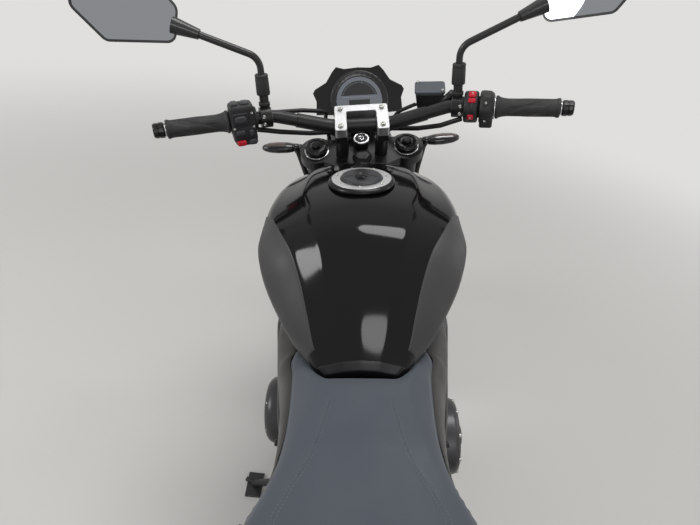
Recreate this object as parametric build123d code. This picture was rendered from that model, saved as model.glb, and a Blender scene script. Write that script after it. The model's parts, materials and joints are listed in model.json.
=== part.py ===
"""A middleweight standard motorcycle with a three-cylinder engine, parked on its side stand.

It is drawn upright first, in millimetres: X to the rider's right, Y forward and Z up, with the
ground at Z = 0 and Y = 0 halfway between the axles. Pieces that steer are drawn straight ahead
and then turned. At the end the whole machine is leaned onto its tyres and its stand.
"""

from build123d import *
from math import acos, asin, atan2, cos, degrees, radians, sin, sqrt
import os

# Driving sizes of the rolling chassis
WHEELBASE = 1401.0
RAKE = 24.6
TRAIL = 107.3
LEAN = 10.0
STEER_REST = 3.4

# Wheels and tyres
FRONT_TYRE_R = 300.0
FRONT_TYRE_W = 120.0
FRONT_CROWN_R = 62.0
REAR_TYRE_R = 315.0
REAR_TYRE_W = 180.0
REAR_CROWN_R = 95.0
BEAD_R = 218.0
FLANGE_H = 9.0
FLANGE_T = 5.0
FRONT_BEAD_HALF = 44.5
REAR_BEAD_HALF = 69.8
WELL_DEPTH = 18.0
BARREL_T = 8.0
SPOKES = 5
SPOKE_T = 26.0
SPOKE_W = 34.0
FORK_POINT_R = 105.0
BRANCH_W = 19.0
BRANCH_SPREAD = 15.0
HUB_R = 34.0
AXLE_R = 10.0
AXLE_PLAY = 0.05
SIDE_PLAY = 0.3
SPACER_R = 17.0

# Brakes
DISC_T = 4.5
FRONT_DISC_R = 155.0
REAR_DISC_R = 127.5
DISC_BAND = 36.0
DISC_HUB_R = 50.0
DISC_BORE_R = 36.0
DISC_ARM_W = 16.0
PAD_GAP = 2.0
FRONT_DISC_X = 66.0
REAR_DISC_X = 84.0
CALIPER_LEN = 92.0
REAR_CALIPER_AT = 58.0

# Fork and steering head
FORK_HALF = 101.0
SLIDER_R = 20.5
FORK_TUBE_R = 27.0
FORK_TUBE_BOTTOM = 268.0
FORK_TOP = 735.0
CAP_H = 16.0
YOKE_TOP = 722.0
TOP_YOKE_T = 24.0
YOKE_SPAN = 200.0
BOTTOM_YOKE_T = 34.0
YOKE_WALL = 11.0
LOCK_AT = 36.0
STEM_R = 14.0
STEM_BORE_R = 8.0
STEM_BORE_DEPTH = 60.0
HEAD_R = 29.0
HEAD_PLAY = 0.05
HEAD_GAP = 2.0
LUG_R = 24.0
LUG_TOP = 118.0
STAY_X = 70.0

# Handlebar, as places from the clamp's centre
BAR_CENTRE = (350.0, 1028.0)
BAR_R = 14.3
GRIP_BAR_R = 11.1
BAR_FLAT = 62.0
BAR_BEND = (176.0, -18.0, 34.0)
BAR_END = (397.0, -88.0, 41.0)
RISER_HALF = 43.0
RISER_R = 14.0
CLAMP_W = 24.0
CLAMP_LEN = 70.0
CLAMP_T = 13.0
CLAMP_SPLIT = 1.0
GRIP_R = 16.8
GRIP_LEN = 118.0
WEIGHT_LEN = 24.0
WEIGHT_R = 14.5

# Mirrors, instrument and lamp
MIRROR_CENTRE = (404.0, 300.0, 1262.0)
INSTRUMENT = (436.0, 1052.0)
INSTRUMENT_TILT = 25.0
INSTRUMENT_R = 64.0
INSTRUMENT_T = 34.0
LAMP = (548.0, 905.0)
LAMP_R = 84.0
LAMP_DEPTH = 84.0
LENS_RISE = 12.0
LAMP_ROD = (457.0, 868.0)

# Engine
CRANK = (92.0, 430.0)
CASE_HALF = 165.0
CYL_TILT = 18.0
BORE_PITCH = 84.0
COVER_R = 76.0
CLUTCH = (36.0, 414.0)
CLUTCH_R = 82.0
GUARD_OUT = 143.0
LEFT_COVER_X = 224.0
RIGHT_COVER_X = 222.0
HEADER_R = 19.0
SILENCER_R = 52.0

# Final drive
FRONT_SPROCKET = (-72.0, 425.0)
CHAIN_X = -105.5
CHAIN_PITCH = 15.875
FRONT_TEETH = 16
REAR_TEETH = 46
PLATE_H = 15.0
CHAIN_GAP = 4.0
CHAIN_ROOM = 88.0
ROLLER_R = 5.0
CHAIN_W = 18.0
ROLLER_W = 11.0
SPROCKET_T = 6.0

# Swingarm and its pivot
PIVOT = (-140.0, 400.0)
PIVOT_R = 24.0
PIVOT_BOLT_R = 9.0
ARM_INNER = 126.0
ARM_T = 26.0
SPOOL_R = 4.0
SPOOL_DEPTH = 20.0
AXLE_BORE_R = 6.5

# Shock, its lower and upper seats as y and z
SHOCK_R = 36.0
SHOCK_COILS = 6
SHOCK_LOW = (PIVOT[0] - 62.0, PIVOT[1] + 64.0)
SHOCK_HIGH = (-74.0, 640.0)

# Frame
SPAR_R = 17.0
RAIL_R = 12.0
LOWER_SPAR_R = 14.0
CROSS_R = 11.0
RAIL_END = -690.0
RAIL_Z = 730.0
PLATE_X = 124.0
PLATE_T = 9.0

# Tank: y, half width at the bottom, widest half width, its height, shoulder half width and height, top height
TANK_ROWS = (
    (292.0, 62.0, 104.0, 908.0, 80.0, 952.0, 966.0),
    (225.0, 92.0, 150.0, 908.0, 104.0, 966.0, 988.0),
    (110.0, 118.0, 174.0, 912.0, 112.0, 974.0, 1000.0),
    (0.0, 118.0, 172.0, 905.0, 104.0, 956.0, 980.0),
    (-85.0, 92.0, 122.0, 850.0, 82.0, 888.0, 908.0),
    (-145.0, 56.0, 74.0, 806.0, 58.0, 822.0, 828.0),
)
TANK_BASE = 790.0
CAP_Y = 148.0
CAP_Z = 997.0
CAP_TILT = -5.0
CAP_OUT_R = 53.0
CAP_IN_R = 38.0
CAP_RING_T = 7.0
LID_PLAY = 0.5
LID_T = 15.0
NECK_R = 30.0
NECK_DEPTH = 48.0

# Seat: y, half width at the bottom, half width and height of the top's edge, height of the middle
SEAT_ROWS = (
    (-66.0, 124.0, 112.0, 812.0, 820.0),
    (-175.0, 117.0, 100.0, 810.0, 822.0),
    (-290.0, 128.0, 112.0, 796.0, 806.0),
    (-385.0, 160.0, 142.0, 800.0, 812.0),
    (-470.0, 146.0, 126.0, 838.0, 852.0),
    (-600.0, 118.0, 100.0, 866.0, 880.0),
    (-705.0, 78.0, 62.0, 872.0, 884.0),
)
SEAT_BASE = 768.0
SOFT_GAP = 0.3
PANEL_X = 129.0

# Tail, under the seat and behind it: y, half width, bottom and top
TAIL_FLOOR = (
    (-340.0, 112.0, 742.0, 768.0),
    (-520.0, 112.0, 742.0, 768.0),
    (-706.0, 84.0, 760.0, 768.0),
)
TAIL_HUMP = (
    (-706.0, 80.0, 760.0, 866.0),
    (-792.0, 46.0, 806.0, 838.0),
)
PLATE_Y = -1034.0

# Side stand
STAND_PIVOT = (-132.0, 22.0, 250.0)
STAND_FOOT = (-312.0, 112.0)
STAND_R = 10.0
FOOT_LEN = 70.0
FOOT_W = 44.0
FOOT_T = 7.0
STAND_UP = (-0.12, -1.0, 0.06)

# Places worked out from the sizes above
FRONT_Y = WHEELBASE / 2
REAR_Y = -WHEELBASE / 2
FORK_OFFSET = FRONT_TYRE_R * sin(radians(RAKE)) - TRAIL * cos(radians(RAKE))
HEAD_BASE_Y = FRONT_Y - FORK_OFFSET * cos(radians(RAKE))
HEAD_BASE_Z = FRONT_TYRE_R - FORK_OFFSET * sin(radians(RAKE))
FORK = Location((0, HEAD_BASE_Y, HEAD_BASE_Z), (RAKE, 0, 0))
STEER = FORK * Location((0, 0, 0), (0, 0, STEER_REST)) * FORK.inverse()
FRONT_CENTRE = (0.0, FRONT_Y, FRONT_TYRE_R)
REAR_CENTRE = (0.0, REAR_Y, REAR_TYRE_R)
BOTTOM_YOKE_TOP = YOKE_TOP - YOKE_SPAN + BOTTOM_YOKE_T / 2
TOP_YOKE_BASE = YOKE_TOP - TOP_YOKE_T
HEAD_LOW = BOTTOM_YOKE_TOP + HEAD_GAP
HEAD_HIGH = TOP_YOKE_BASE - HEAD_GAP
FRONT_HUB = FRONT_DISC_X - DISC_T / 2
REAR_HUB_LEFT = CHAIN_X + SPROCKET_T / 2
REAR_HUB_RIGHT = REAR_DISC_X - DISC_T / 2
SPOOL = (REAR_Y + 74.0, REAR_TYRE_R - 8.0)
SHOCK_LEN = sqrt((SHOCK_HIGH[0] - SHOCK_LOW[0]) ** 2 + (SHOCK_HIGH[1] - SHOCK_LOW[1]) ** 2)


def box(x0, x1, y0, y1, z0, z1):
    """A block between two corners."""
    return Pos((x0 + x1) / 2, (y0 + y1) / 2, (z0 + z1) / 2) * Box(x1 - x0, y1 - y0, z1 - z0)


def rod(start, end, radius, end_radius=None):
    """A round bar between two points, tapered where it has a second radius."""
    a, b = Vector(*start), Vector(*end)
    length = (b - a).length
    place = Plane(a, z_dir=b - a).location
    if end_radius is None:
        return place * Pos(0, 0, length / 2) * Cylinder(radius, length)
    return place * Pos(0, 0, length / 2) * Cone(radius, end_radius, length)


def pipe(points, radius, bend):
    """A round bar along straight runs joined by arcs."""
    path = FilletPolyline(*points, radius=bend)
    return sweep(Plane(path @ 0, z_dir=path % 0) * Circle(radius), path=path)


def side(points, x0, x1, bend=0.0):
    """A plate with an outline in the side view, given as y and z, between two x places."""
    if bend:
        outline = FilletPolyline(*points, radius=bend, close=True)
    else:
        outline = Polyline(*points, close=True)
    return extrude(Plane.YZ.offset(x0) * make_face(outline), x1 - x0)


def both(shape):
    """The shape and its mirror image on the other side of the machine."""
    return Compound([*shape.solids(), *mirror(shape, Plane.YZ).solids()])


def turned(profile, centre):
    """A ring about a wheel's axle from a profile of x and radius."""
    ring = revolve(make_face(profile), Axis.X)
    return Pos(*centre) * ring


def tyre(centre, radius, half, crown, bead_half):
    """A tyre that fills the rim between its flanges."""
    edge = half - 4.0
    shoulder = radius - crown + sqrt(crown**2 - edge**2)
    lip = BEAD_R + FLANGE_H
    bulge = ((half + 1.0), (shoulder + lip) / 2 + 4.0)
    lines = Line((-bead_half, BEAD_R), (bead_half, BEAD_R))
    lines += Line((bead_half, BEAD_R), (bead_half, lip))
    lines += ThreePointArc((bead_half, lip), bulge, (edge, shoulder))
    lines += ThreePointArc((edge, shoulder), (0, radius), (-edge, shoulder))
    lines += ThreePointArc((-edge, shoulder), (-bulge[0], bulge[1]), (-bead_half, lip))
    lines += Line((-bead_half, lip), (-bead_half, BEAD_R))
    return turned(lines, centre)


def rim(centre, bead_half, hub_left, hub_right):
    """A cast wheel: barrel with flanges, hub, and spokes that fork before the barrel."""
    out, lip = bead_half + FLANGE_T, BEAD_R + FLANGE_H
    well = bead_half - 16.0
    well_r = BEAD_R - WELL_DEPTH
    skin = BEAD_R - BARREL_T
    inner = well_r - BARREL_T
    half = [
        (bead_half, lip),
        (out, lip),
        (out, skin),
        (well + 6.0, skin),
        (well - 4.0, inner),
    ]
    top = [(well - 8.0, well_r), (well, BEAD_R), (bead_half, BEAD_R)]
    right = top + half
    left = [(-x, r) for x, r in reversed(right)]
    wheel = turned(Polyline(*right, *left, close=True), (0, 0, 0))
    hub = revolve(make_face(Polyline(
        (hub_left, 0), (hub_left, HUB_R - 8), (hub_left + 12, HUB_R), (hub_right - 12, HUB_R),
        (hub_right, HUB_R - 8), (hub_right, 0), close=True)), Axis.X)
    wheel += hub
    trunk = side([(-SPOKE_W / 2, HUB_R - 6), (SPOKE_W / 2, HUB_R - 6),
                  (SPOKE_W / 2 - 3, FORK_POINT_R), (-SPOKE_W / 2 + 3, FORK_POINT_R)],
                 -SPOKE_T / 2, SPOKE_T / 2)
    tip = inner + BARREL_T / 2
    reach = tip * sin(radians(BRANCH_SPREAD))
    rise = tip * cos(radians(BRANCH_SPREAD))
    branch = side([(-4, FORK_POINT_R - 22), (SPOKE_W / 2 - 3, FORK_POINT_R - 14),
                   (reach + BRANCH_W / 2, rise), (reach - BRANCH_W / 2, rise + 4)],
                  -SPOKE_T / 2, SPOKE_T / 2)
    spoke = trunk + branch + mirror(branch, Plane.XZ)
    for i in range(SPOKES):
        wheel += Rot(360.0 / SPOKES * i, 0, 0) * spoke
    wheel -= Plane.YZ.offset(hub_left - 1) * Pos(0, 0, (hub_right - hub_left + 2) / 2) * Cylinder(
        AXLE_R + AXLE_PLAY, hub_right - hub_left + 2)
    return Pos(*centre) * wheel


def disc(x, radius):
    """A brake disc with its carrier arms, centred on the axle."""
    band = Circle(radius) - Circle(radius - DISC_BAND)
    carrier = Circle(DISC_HUB_R) - Circle(DISC_BORE_R)
    arm = Pos((DISC_HUB_R + radius - DISC_BAND) / 2, 0) * Rectangle(
        radius - DISC_BAND - DISC_HUB_R + 8, DISC_ARM_W)
    face = band + carrier
    for i in range(SPOKES):
        face += Rot(0, 0, 360.0 / SPOKES * i) * arm
    return extrude(Plane.YZ.offset(x - DISC_T / 2) * face, DISC_T)


def caliper(x, centre, disc_r, angle, reach_x):
    """A brake caliper over the disc's edge, at an angle from straight ahead, with its lug."""
    mid = disc_r - DISC_BAND / 2
    body = box(x - 22, x + 20, -CALIPER_LEN / 2, CALIPER_LEN / 2, mid - 24, disc_r + 17)
    body = chamfer(body.edges().filter_by(Axis.X), 9)
    slot = box(x - DISC_T / 2 - PAD_GAP, x + DISC_T / 2 + PAD_GAP, -CALIPER_LEN, CALIPER_LEN,
               mid - 30, disc_r + 5)
    lug = box(x + 16, reach_x, -26, 26, mid - 12, disc_r + 10)
    return Pos(*centre) * Rot(90 + angle - 180, 0, 0) * (body - slot + lug)


def front_rim():
    wheel = rim(FRONT_CENTRE, FRONT_BEAD_HALF, -FRONT_HUB, FRONT_HUB)
    flange = Plane.YZ * (Circle(DISC_HUB_R) - Circle(AXLE_R + AXLE_PLAY))
    for x in (-FRONT_HUB, FRONT_HUB - 7.0):
        wheel += Pos(*FRONT_CENTRE) * Pos(x, 0, 0) * extrude(flange, 7.0)
    return wheel


def front_discs():
    return both(Pos(*FRONT_CENTRE) * disc(FRONT_DISC_X, FRONT_DISC_R))


def front_axle():
    tip = FORK_HALF + LUG_R + 4.0
    shaft = rod((-tip, *FRONT_CENTRE[1:]), (tip, *FRONT_CENTRE[1:]), AXLE_R)
    collar = rod((FRONT_HUB + SIDE_PLAY, *FRONT_CENTRE[1:]), (FORK_HALF - LUG_R, *FRONT_CENTRE[1:]), 16.0)
    shaft += collar + mirror(collar, Plane.YZ)
    return shaft - rod((-tip - 1, *FRONT_CENTRE[1:]), (tip + 1, *FRONT_CENTRE[1:]), AXLE_BORE_R)


def rear_rim():
    wheel = rim(REAR_CENTRE, REAR_BEAD_HALF, REAR_HUB_LEFT, REAR_HUB_RIGHT)
    flange = Plane.YZ * (Circle(DISC_HUB_R) - Circle(AXLE_R + AXLE_PLAY))
    carrier = Plane.YZ * (Circle(70) - Circle(AXLE_R + AXLE_PLAY))
    wheel += Pos(*REAR_CENTRE) * Pos(REAR_HUB_RIGHT - 7.0, 0, 0) * extrude(flange, 7.0)
    wheel += Pos(*REAR_CENTRE) * Pos(REAR_HUB_LEFT, 0, 0) * extrude(carrier, 22.0)
    return wheel


def pitch_radius(teeth):
    """The radius on which the chain's pins run round a sprocket."""
    return CHAIN_PITCH / 2 / sin(radians(180.0 / teeth))


def rear_sprocket():
    """A toothed ring bolted to the carrier; its tips stay under the chain's rollers."""
    tip = pitch_radius(REAR_TEETH) - ROLLER_R - 0.8
    tooth = Polyline((tip - 7, -5.5), (tip, -2.0), (tip, 2.0), (tip - 7, 5.5), close=True)
    face = Circle(tip - 5) - Circle(DISC_BORE_R)
    face += [Rot(0, 0, 360.0 / REAR_TEETH * i) * make_face(tooth) for i in range(REAR_TEETH)]
    return Pos(*REAR_CENTRE) * extrude(Plane.YZ.offset(CHAIN_X - SPROCKET_T / 2) * face, SPROCKET_T)


def belt(grow):
    """The flat outline round both sprockets, a distance outside the pins' line, as y and z."""
    (y0, z0), (y1, z1) = FRONT_SPROCKET, REAR_CENTRE[1:]
    r0, r1 = pitch_radius(FRONT_TEETH) + grow, pitch_radius(REAR_TEETH) + grow
    gap = sqrt((y1 - y0) ** 2 + (z1 - z0) ** 2)
    line, spread = atan2(z1 - z0, y1 - y0), acos((r0 - r1) / gap)
    corners = [(y0 + r0 * cos(line + spread), z0 + r0 * sin(line + spread)),
               (y1 + r1 * cos(line + spread), z1 + r1 * sin(line + spread)),
               (y1 + r1 * cos(line - spread), z1 + r1 * sin(line - spread)),
               (y0 + r0 * cos(line - spread), z0 + r0 * sin(line - spread))]
    return make_face(Polyline(*corners, close=True)) + Pos(y0, z0) * Circle(r0) + Pos(y1, z1) * Circle(r1)


def chain():
    """The drive chain as one loop: a row of rollers between two rows of plates."""
    rollers = belt(ROLLER_R) - belt(-ROLLER_R)
    plates = belt(PLATE_H / 2) - belt(-PLATE_H / 2)
    plate_t = (CHAIN_W - ROLLER_W) / 2
    loop = extrude(Plane.YZ.offset(CHAIN_X - ROLLER_W / 2) * rollers, ROLLER_W)
    loop += extrude(Plane.YZ.offset(CHAIN_X - CHAIN_W / 2) * plates, plate_t)
    loop += extrude(Plane.YZ.offset(CHAIN_X + ROLLER_W / 2) * plates, plate_t)
    return loop


# Swingarm, rear axle and rear brake
def swingarm():
    (py, pz), (_, ay, az) = PIVOT, REAR_CENTRE
    out = ARM_INNER + ARM_T
    leg = side([(py - 38, pz + 32), (py - 38, pz - 32), (py - 190, pz - 62), (ay + 30, az - 30),
                (ay - 46, az - 26), (ay - 46, az + 26), (ay + 40, az + 30), (py - 190, pz + 14)],
               ARM_INNER, out, 10)
    arm = leg + mirror(leg, Plane.YZ)
    arm += box(-CHAIN_ROOM, out, py - 92, py - 42, pz - 30, pz + 30)
    arm += box(-out, -CHAIN_ROOM, py - 92, py - 42, pz - 30, pz - 12)
    arm += rod((-PLATE_X + SIDE_PLAY, py, pz), (PLATE_X - SIDE_PLAY, py, pz), PIVOT_R)
    for x in (-56.0, 88.0):
        arm += box(x - 14, x + 14, py - 60, py - 10, pz - 20, pz + 20)
    arm += shock_place() * box(-18, 18, -15, 15, -44, 0)
    arm -= rod((-out - 1, ay, az), (out + 1, ay, az), AXLE_R)
    arm -= rod((-PLATE_X - 1, py, pz), (PLATE_X + 1, py, pz), PIVOT_BOLT_R)
    arm -= extrude(Plane.YZ.offset(CHAIN_X - CHAIN_W / 2 - CHAIN_GAP) * (
        belt(PLATE_H / 2 + CHAIN_GAP) - belt(-PLATE_H / 2 - CHAIN_GAP)), CHAIN_W + 2 * CHAIN_GAP)
    for x, end in ((-out, -out + SPOOL_DEPTH), (out, out - SPOOL_DEPTH)):
        arm -= rod((x, *SPOOL), (end, *SPOOL), SPOOL_R)
    return arm


def rear_axle():
    tip = ARM_INNER + ARM_T + 12.0
    ay, az = REAR_CENTRE[1:]
    shaft = rod((-tip, ay, az), (tip, ay, az), AXLE_R)
    for a, b in ((-ARM_INNER, REAR_HUB_LEFT - SPROCKET_T - SIDE_PLAY),
                 (REAR_HUB_RIGHT + SIDE_PLAY, ARM_INNER)):
        shaft += rod((a, ay, az), (b, ay, az), SPACER_R)
    for a, b in ((-tip, -tip + 12.0), (tip - 12.0, tip)):
        shaft += rod((a, ay, az), (b, ay, az), 16.0)
    return shaft - rod((-tip - 1, ay, az), (tip + 1, ay, az), AXLE_BORE_R)


def rear_disc():
    return Pos(*REAR_CENTRE) * disc(REAR_DISC_X, REAR_DISC_R)


def rear_caliper():
    """A caliper on a plate that hangs on the axle's spacer."""
    x0 = REAR_DISC_X + 20.0
    body = caliper(REAR_DISC_X, REAR_CENTRE, REAR_DISC_R, REAR_CALIPER_AT, x0 + 6)
    turn = Pos(*REAR_CENTRE) * Rot(REAR_CALIPER_AT - 90, 0, 0)
    plate = turn * (side([(-20, 0), (20, 0), (26, 132), (-26, 132)], x0 - 2, x0 + 6))
    plate += rod((x0 - 2, *REAR_CENTRE[1:]), (x0 + 6, *REAR_CENTRE[1:]), 28)
    return body + plate - rod((0, *REAR_CENTRE[1:]), (200, *REAR_CENTRE[1:]), SPACER_R)


def shock_place():
    """The shock's own frame: from its lower seat, z along it."""
    low, high = Vector(0, *SHOCK_LOW), Vector(0, *SHOCK_HIGH)
    return Plane(low, x_dir=(1, 0, 0), z_dir=high - low).location


def shock():
    """One spring and damper between the frame's cross tube and the swingarm."""
    step = (SHOCK_LEN - 62.0) / SHOCK_COILS
    points = [(0, 0), (14, 0), (14, 26)]
    for i in range(SHOCK_COILS):
        points += [(SHOCK_R, 30 + step * i), (SHOCK_R, 30 + step * (i + 0.55)),
                   (SHOCK_R - 9, 30 + step * (i + 0.8))]
    points += [(SHOCK_R, SHOCK_LEN - 30), (SHOCK_R, SHOCK_LEN - 24), (14, SHOCK_LEN - 22),
               (14, SHOCK_LEN), (0, SHOCK_LEN)]
    return shock_place() * revolve(Plane.XZ * make_face(Polyline(*points, close=True)), Axis.Z)


# Frame
def spar_points(sign):
    """The main spar on one side, from the head to the swingarm pivot plate."""
    return [(sign * 22, 398, 862), (sign * 118, 262, 762), (sign * 148, 60, 742),
            (sign * 136, -96, 640), (sign * 129, PIVOT[0] + 6, 480)]


def frame():
    middle = (HEAD_LOW + HEAD_HIGH) / 2
    body = FORK * Pos(0, 0, middle) * Cylinder(HEAD_R, HEAD_HIGH - HEAD_LOW)
    for sign in (-1, 1):
        x0, x1 = sorted((sign * PLATE_X, sign * (PLATE_X + PLATE_T)))
        body += pipe(spar_points(sign), SPAR_R, 60)
        body += pipe([(sign * 20, 424, 800), (sign * 140, 300, 706), (sign * 151, 150, 676),
                      (sign * 148, 30, 720)], LOWER_SPAR_R, 50)
        body += side([(PIVOT[0] - 30, PIVOT[1] - 12), (PIVOT[0] - 30, PIVOT[1] + 24),
                      (PIVOT[0] + 4, 520), (PIVOT[0] + 44, 520), (PIVOT[0] + 52, 330),
                      (PIVOT[0] + 20, 296), (PIVOT[0] - 14, 330)], x0, x1, 9)
        body += rod((sign * 60, 262, 762), (sign * 60, 262, TANK_BASE), CROSS_R)
    body += shock_place() * Pos(0, 0, SHOCK_LEN) * (
        box(-18, 18, -15, 15, 0, 20) + Pos(0, 0, 26) * Rot(0, 90, 0) * Cylinder(14, 276))
    body += rod((-110, 262, 762), (110, 262, 762), CROSS_R)
    body += rod((-136, -16, 714), (136, -16, 714), CROSS_R)
    body += rod((0, -16, 714), (0, -16, TANK_BASE), CROSS_R)
    body -= FORK * Pos(0, 0, middle) * Cylinder(STEM_R + HEAD_PLAY, HEAD_HIGH - HEAD_LOW + 80)
    plates = PLATE_X + PLATE_T
    return body - rod((-plates - 1, *PIVOT), (plates + 1, *PIVOT), PIVOT_BOLT_R)


def rear_frame():
    """The rails and struts under the seat, which end on the main spars."""
    body = rod((-84, -470, RAIL_Z), (84, -470, RAIL_Z), RAIL_R - 3)
    for sign in (-1, 1):
        body += pipe([(sign * 144, 8, 708), (sign * 100, -140, 716), (sign * 84, -430, RAIL_Z),
                      (sign * 62, RAIL_END, RAIL_Z)], RAIL_R, 80)
        body += pipe([(sign * 132.5, -115, 560), (sign * 104, -300, 640), (sign * 84, -470, RAIL_Z)],
                     RAIL_R - 2, 60)
    return body - frame()


# Engine
def crankcase():
    """The engine's cases with the output shaft, its sprocket and the side stand's lug."""
    case = side([(-110, 372), (-60, 296), (70, 286), (206, 330), (238, 420), (212, 500),
                 (60, 520), (-20, 506), (-110, 486)], -112, 112, 16)
    case += side([(10, 362), (22, 318), (168, 318), (196, 400), (180, 486), (30, 500),
                  (10, 470)], -CASE_HALF, CASE_HALF, 16)
    case += side([(20, 300), (150, 300), (138, 238), (40, 238)], -70, 70, 10)
    case -= box(-300, -CHAIN_ROOM, -300, 2, 290, 560)
    y, z = FRONT_SPROCKET
    tip = pitch_radius(FRONT_TEETH) - ROLLER_R - 0.8
    case += rod((-CHAIN_ROOM + 2, y, z), (CHAIN_X - SPROCKET_T, y, z), 14)
    case += rod((CHAIN_X - SPROCKET_T / 2, y, z), (CHAIN_X + SPROCKET_T / 2, y, z), tip)
    return case + stand_bracket()


def tilt_about_crank(shape):
    return Pos(0, *CRANK) * Rot(-CYL_TILT, 0, 0) * shape


def cylinders():
    width = BORE_PITCH + 42
    block = box(-width, width, -62, 62, 92, 176)
    block = chamfer(block.edges().filter_by(Axis.Z), 10)
    return tilt_about_crank(block) - crankcase()


def cylinder_head():
    width = BORE_PITCH + 46
    head = box(-width, width, -70, 70, 176, 250)
    cover = extrude(Plane.XY.offset(250) * Rectangle(2 * width - 14, 128), 34, taper=12)
    ports = [Pos(BORE_PITCH * i, 70, 206) * Rot(-90, 0, 0) * Pos(0, 0, 8) * Cylinder(HEADER_R + 8, 16)
             for i in (-1, 0, 1)]
    shape = chamfer(head.edges().filter_by(Axis.Z), 8) + cover
    for port in ports:
        shape += port
    return tilt_about_crank(shape)


def round_cover(centre, radius, x_in, x_out, edge):
    """A domed round engine cover."""
    sign = 1 if x_out > x_in else -1
    length = abs(x_out - x_in)
    body = Pos(0, 0, length / 2) * Cylinder(radius, length)
    body = fillet(body.edges().filter_by(GeomType.CIRCLE).sort_by(Axis.Z)[-1], edge)
    return Pos(x_in, *centre) * Rot(0, 90 * sign, 0) * body


def engine_covers():
    """Round covers on both sides of the engine, and the guard over the front sprocket."""
    left = round_cover(CRANK, COVER_R, -CASE_HALF, -LEFT_COVER_X, 22)
    right = round_cover(CLUTCH, CLUTCH_R, CASE_HALF, RIGHT_COVER_X - 12, 14)
    right += round_cover((118.0, 420.0), 58.0, CASE_HALF, RIGHT_COVER_X - 26, 12)
    right += round_cover(CLUTCH, 24.0, RIGHT_COVER_X - 14, RIGHT_COVER_X, 5)
    y, z = FRONT_SPROCKET
    guard = side([(y - 24, z - 66), (y + 76, z - 66), (y + 76, z + 66), (y - 24, z + 66)],
                 -GUARD_OUT, -GUARD_OUT + 8, 12)
    guard += box(-GUARD_OUT + 4, -CHAIN_ROOM, y + 64, y + 74, z - 60, z + 60)
    return Compound([*left.solids(), *right.solids(), *guard.solids()])


def radiator():
    core = box(-152, 152, -16, 16, -118, 118)
    tanks = box(-176, -152, -22, 22, -124, 124) + box(152, 176, -22, 22, -124, 124)
    lips = box(-152, 152, -20, 20, 118, 128) + box(-152, 152, -20, 20, -128, -118)
    ears = box(-160, -140, 270, 364, 674, 696) + box(140, 160, 270, 364, 674, 696)
    return Pos(0, 348, 560) * Rot(-5, 0, 0) * (core + tanks + lips) + (ears - frame())


def headers():
    """Three header pipes that run down in front of the engine and meet under it."""
    pipes = []
    for i in (-1, 0, 1):
        port = Pos(0, *CRANK) * Rot(-CYL_TILT, 0, 0) * Pos(BORE_PITCH * i, 86, 206)
        lead = Pos(0, *CRANK) * Rot(-CYL_TILT, 0, 0) * Pos(BORE_PITCH * i, 120, 206)
        y0, z0 = port.position.Y, port.position.Z
        y1, z1 = lead.position.Y, lead.position.Z
        x = BORE_PITCH * i
        pipes.append(pipe([(x, y0, z0), (x, y1 + 6, z1 + 2), (x * 0.8, 258, 330), (x * 0.62, 180, 212),
                           (x * 0.5, 60, 196)], HEADER_R, 42))
    box_pipe = side([(66, 168), (66, 224), (-10, 232), (-110, 226), (-124, 190), (-70, 160)],
                    -70, 84, 12)
    for p in pipes:
        box_pipe += p
    return box_pipe - cylinder_head()


def silencer():
    """The short silencer under the right of the engine, with its outlet behind."""
    can = rod((128, 40, 226), (150, -250, 262), SILENCER_R - 4, SILENCER_R)
    outlet = rod((150, -249, 262), (156, -300, 276), 30, 24)
    link = rod((60, -50, 200), (104, -50, 216), 24)
    return can + outlet + link - headers()


# Body panels
def tank_section(row, grow=0.0):
    y, base_half, wide, wide_z, edge, edge_z, top = row
    low = TANK_BASE - grow
    g = grow
    lines = Line((-base_half - g, low), (base_half + g, low))
    lines += ThreePointArc((base_half + g, low), (wide + g, wide_z), (edge + g, edge_z + g))
    lines += ThreePointArc((edge + g, edge_z + g), (0, top + g), (-edge - g, edge_z + g))
    lines += ThreePointArc((-edge - g, edge_z + g), (-wide - g, wide_z), (-base_half - g, low))
    return Plane((0, y, 0), x_dir=(1, 0, 0), z_dir=(0, -1, 0)) * make_face(lines)


def cap_place():
    """Where the filler sits: on the tank's top, its normal tilted a little forward."""
    return Location((0, CAP_Y, CAP_Z), (CAP_TILT, 0, 0))


def tank_body(grow=0.0):
    rows = list(TANK_ROWS)
    if grow:
        rows[-1] = (rows[-1][0] - grow, *rows[-1][1:])
    return loft([tank_section(row, grow) for row in rows])


def fuel_tank():
    body = tank_body()
    body += cap_place() * Pos(0, 0, -10) * Cylinder(CAP_OUT_R + 4, 20)
    body -= cap_place() * Pos(0, 0, 20) * Cylinder(CAP_OUT_R + 30, 40)
    return body - cap_place() * Pos(0, 0, -NECK_DEPTH / 2) * Cylinder(NECK_R, NECK_DEPTH)


def filler_ring():
    ring = Cylinder(CAP_OUT_R, CAP_RING_T) - Cylinder(CAP_IN_R, CAP_RING_T + 2)
    return cap_place() * Pos(0, 0, CAP_RING_T / 2) * ring


def filler_lid():
    lid = Cylinder(CAP_IN_R - LID_PLAY, LID_T - 4, align=(Align.CENTER, Align.CENTER, Align.MIN))
    lid = chamfer(lid.edges().sort_by(Axis.Z)[-1], 3)
    flap = Pos(0, 4, LID_T - 5) * Box(22, 46, 6)
    return cap_place() * Pos(0, 0, LID_PLAY) * (lid + chamfer(flap.edges().sort_by(Axis.Z)[-4:], 2))


def seat_section(row):
    y, low_half, top_half, edge, top = row
    lines = Line((-low_half, SEAT_BASE), (low_half, SEAT_BASE))
    lines += Line((low_half, SEAT_BASE), (top_half, edge))
    lines += ThreePointArc((top_half, edge), (0, top), (-top_half, edge))
    lines += Line((-top_half, edge), (-low_half, SEAT_BASE))
    return Plane((0, y, 0), x_dir=(1, 0, 0), z_dir=(0, -1, 0)) * make_face(lines)


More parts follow.
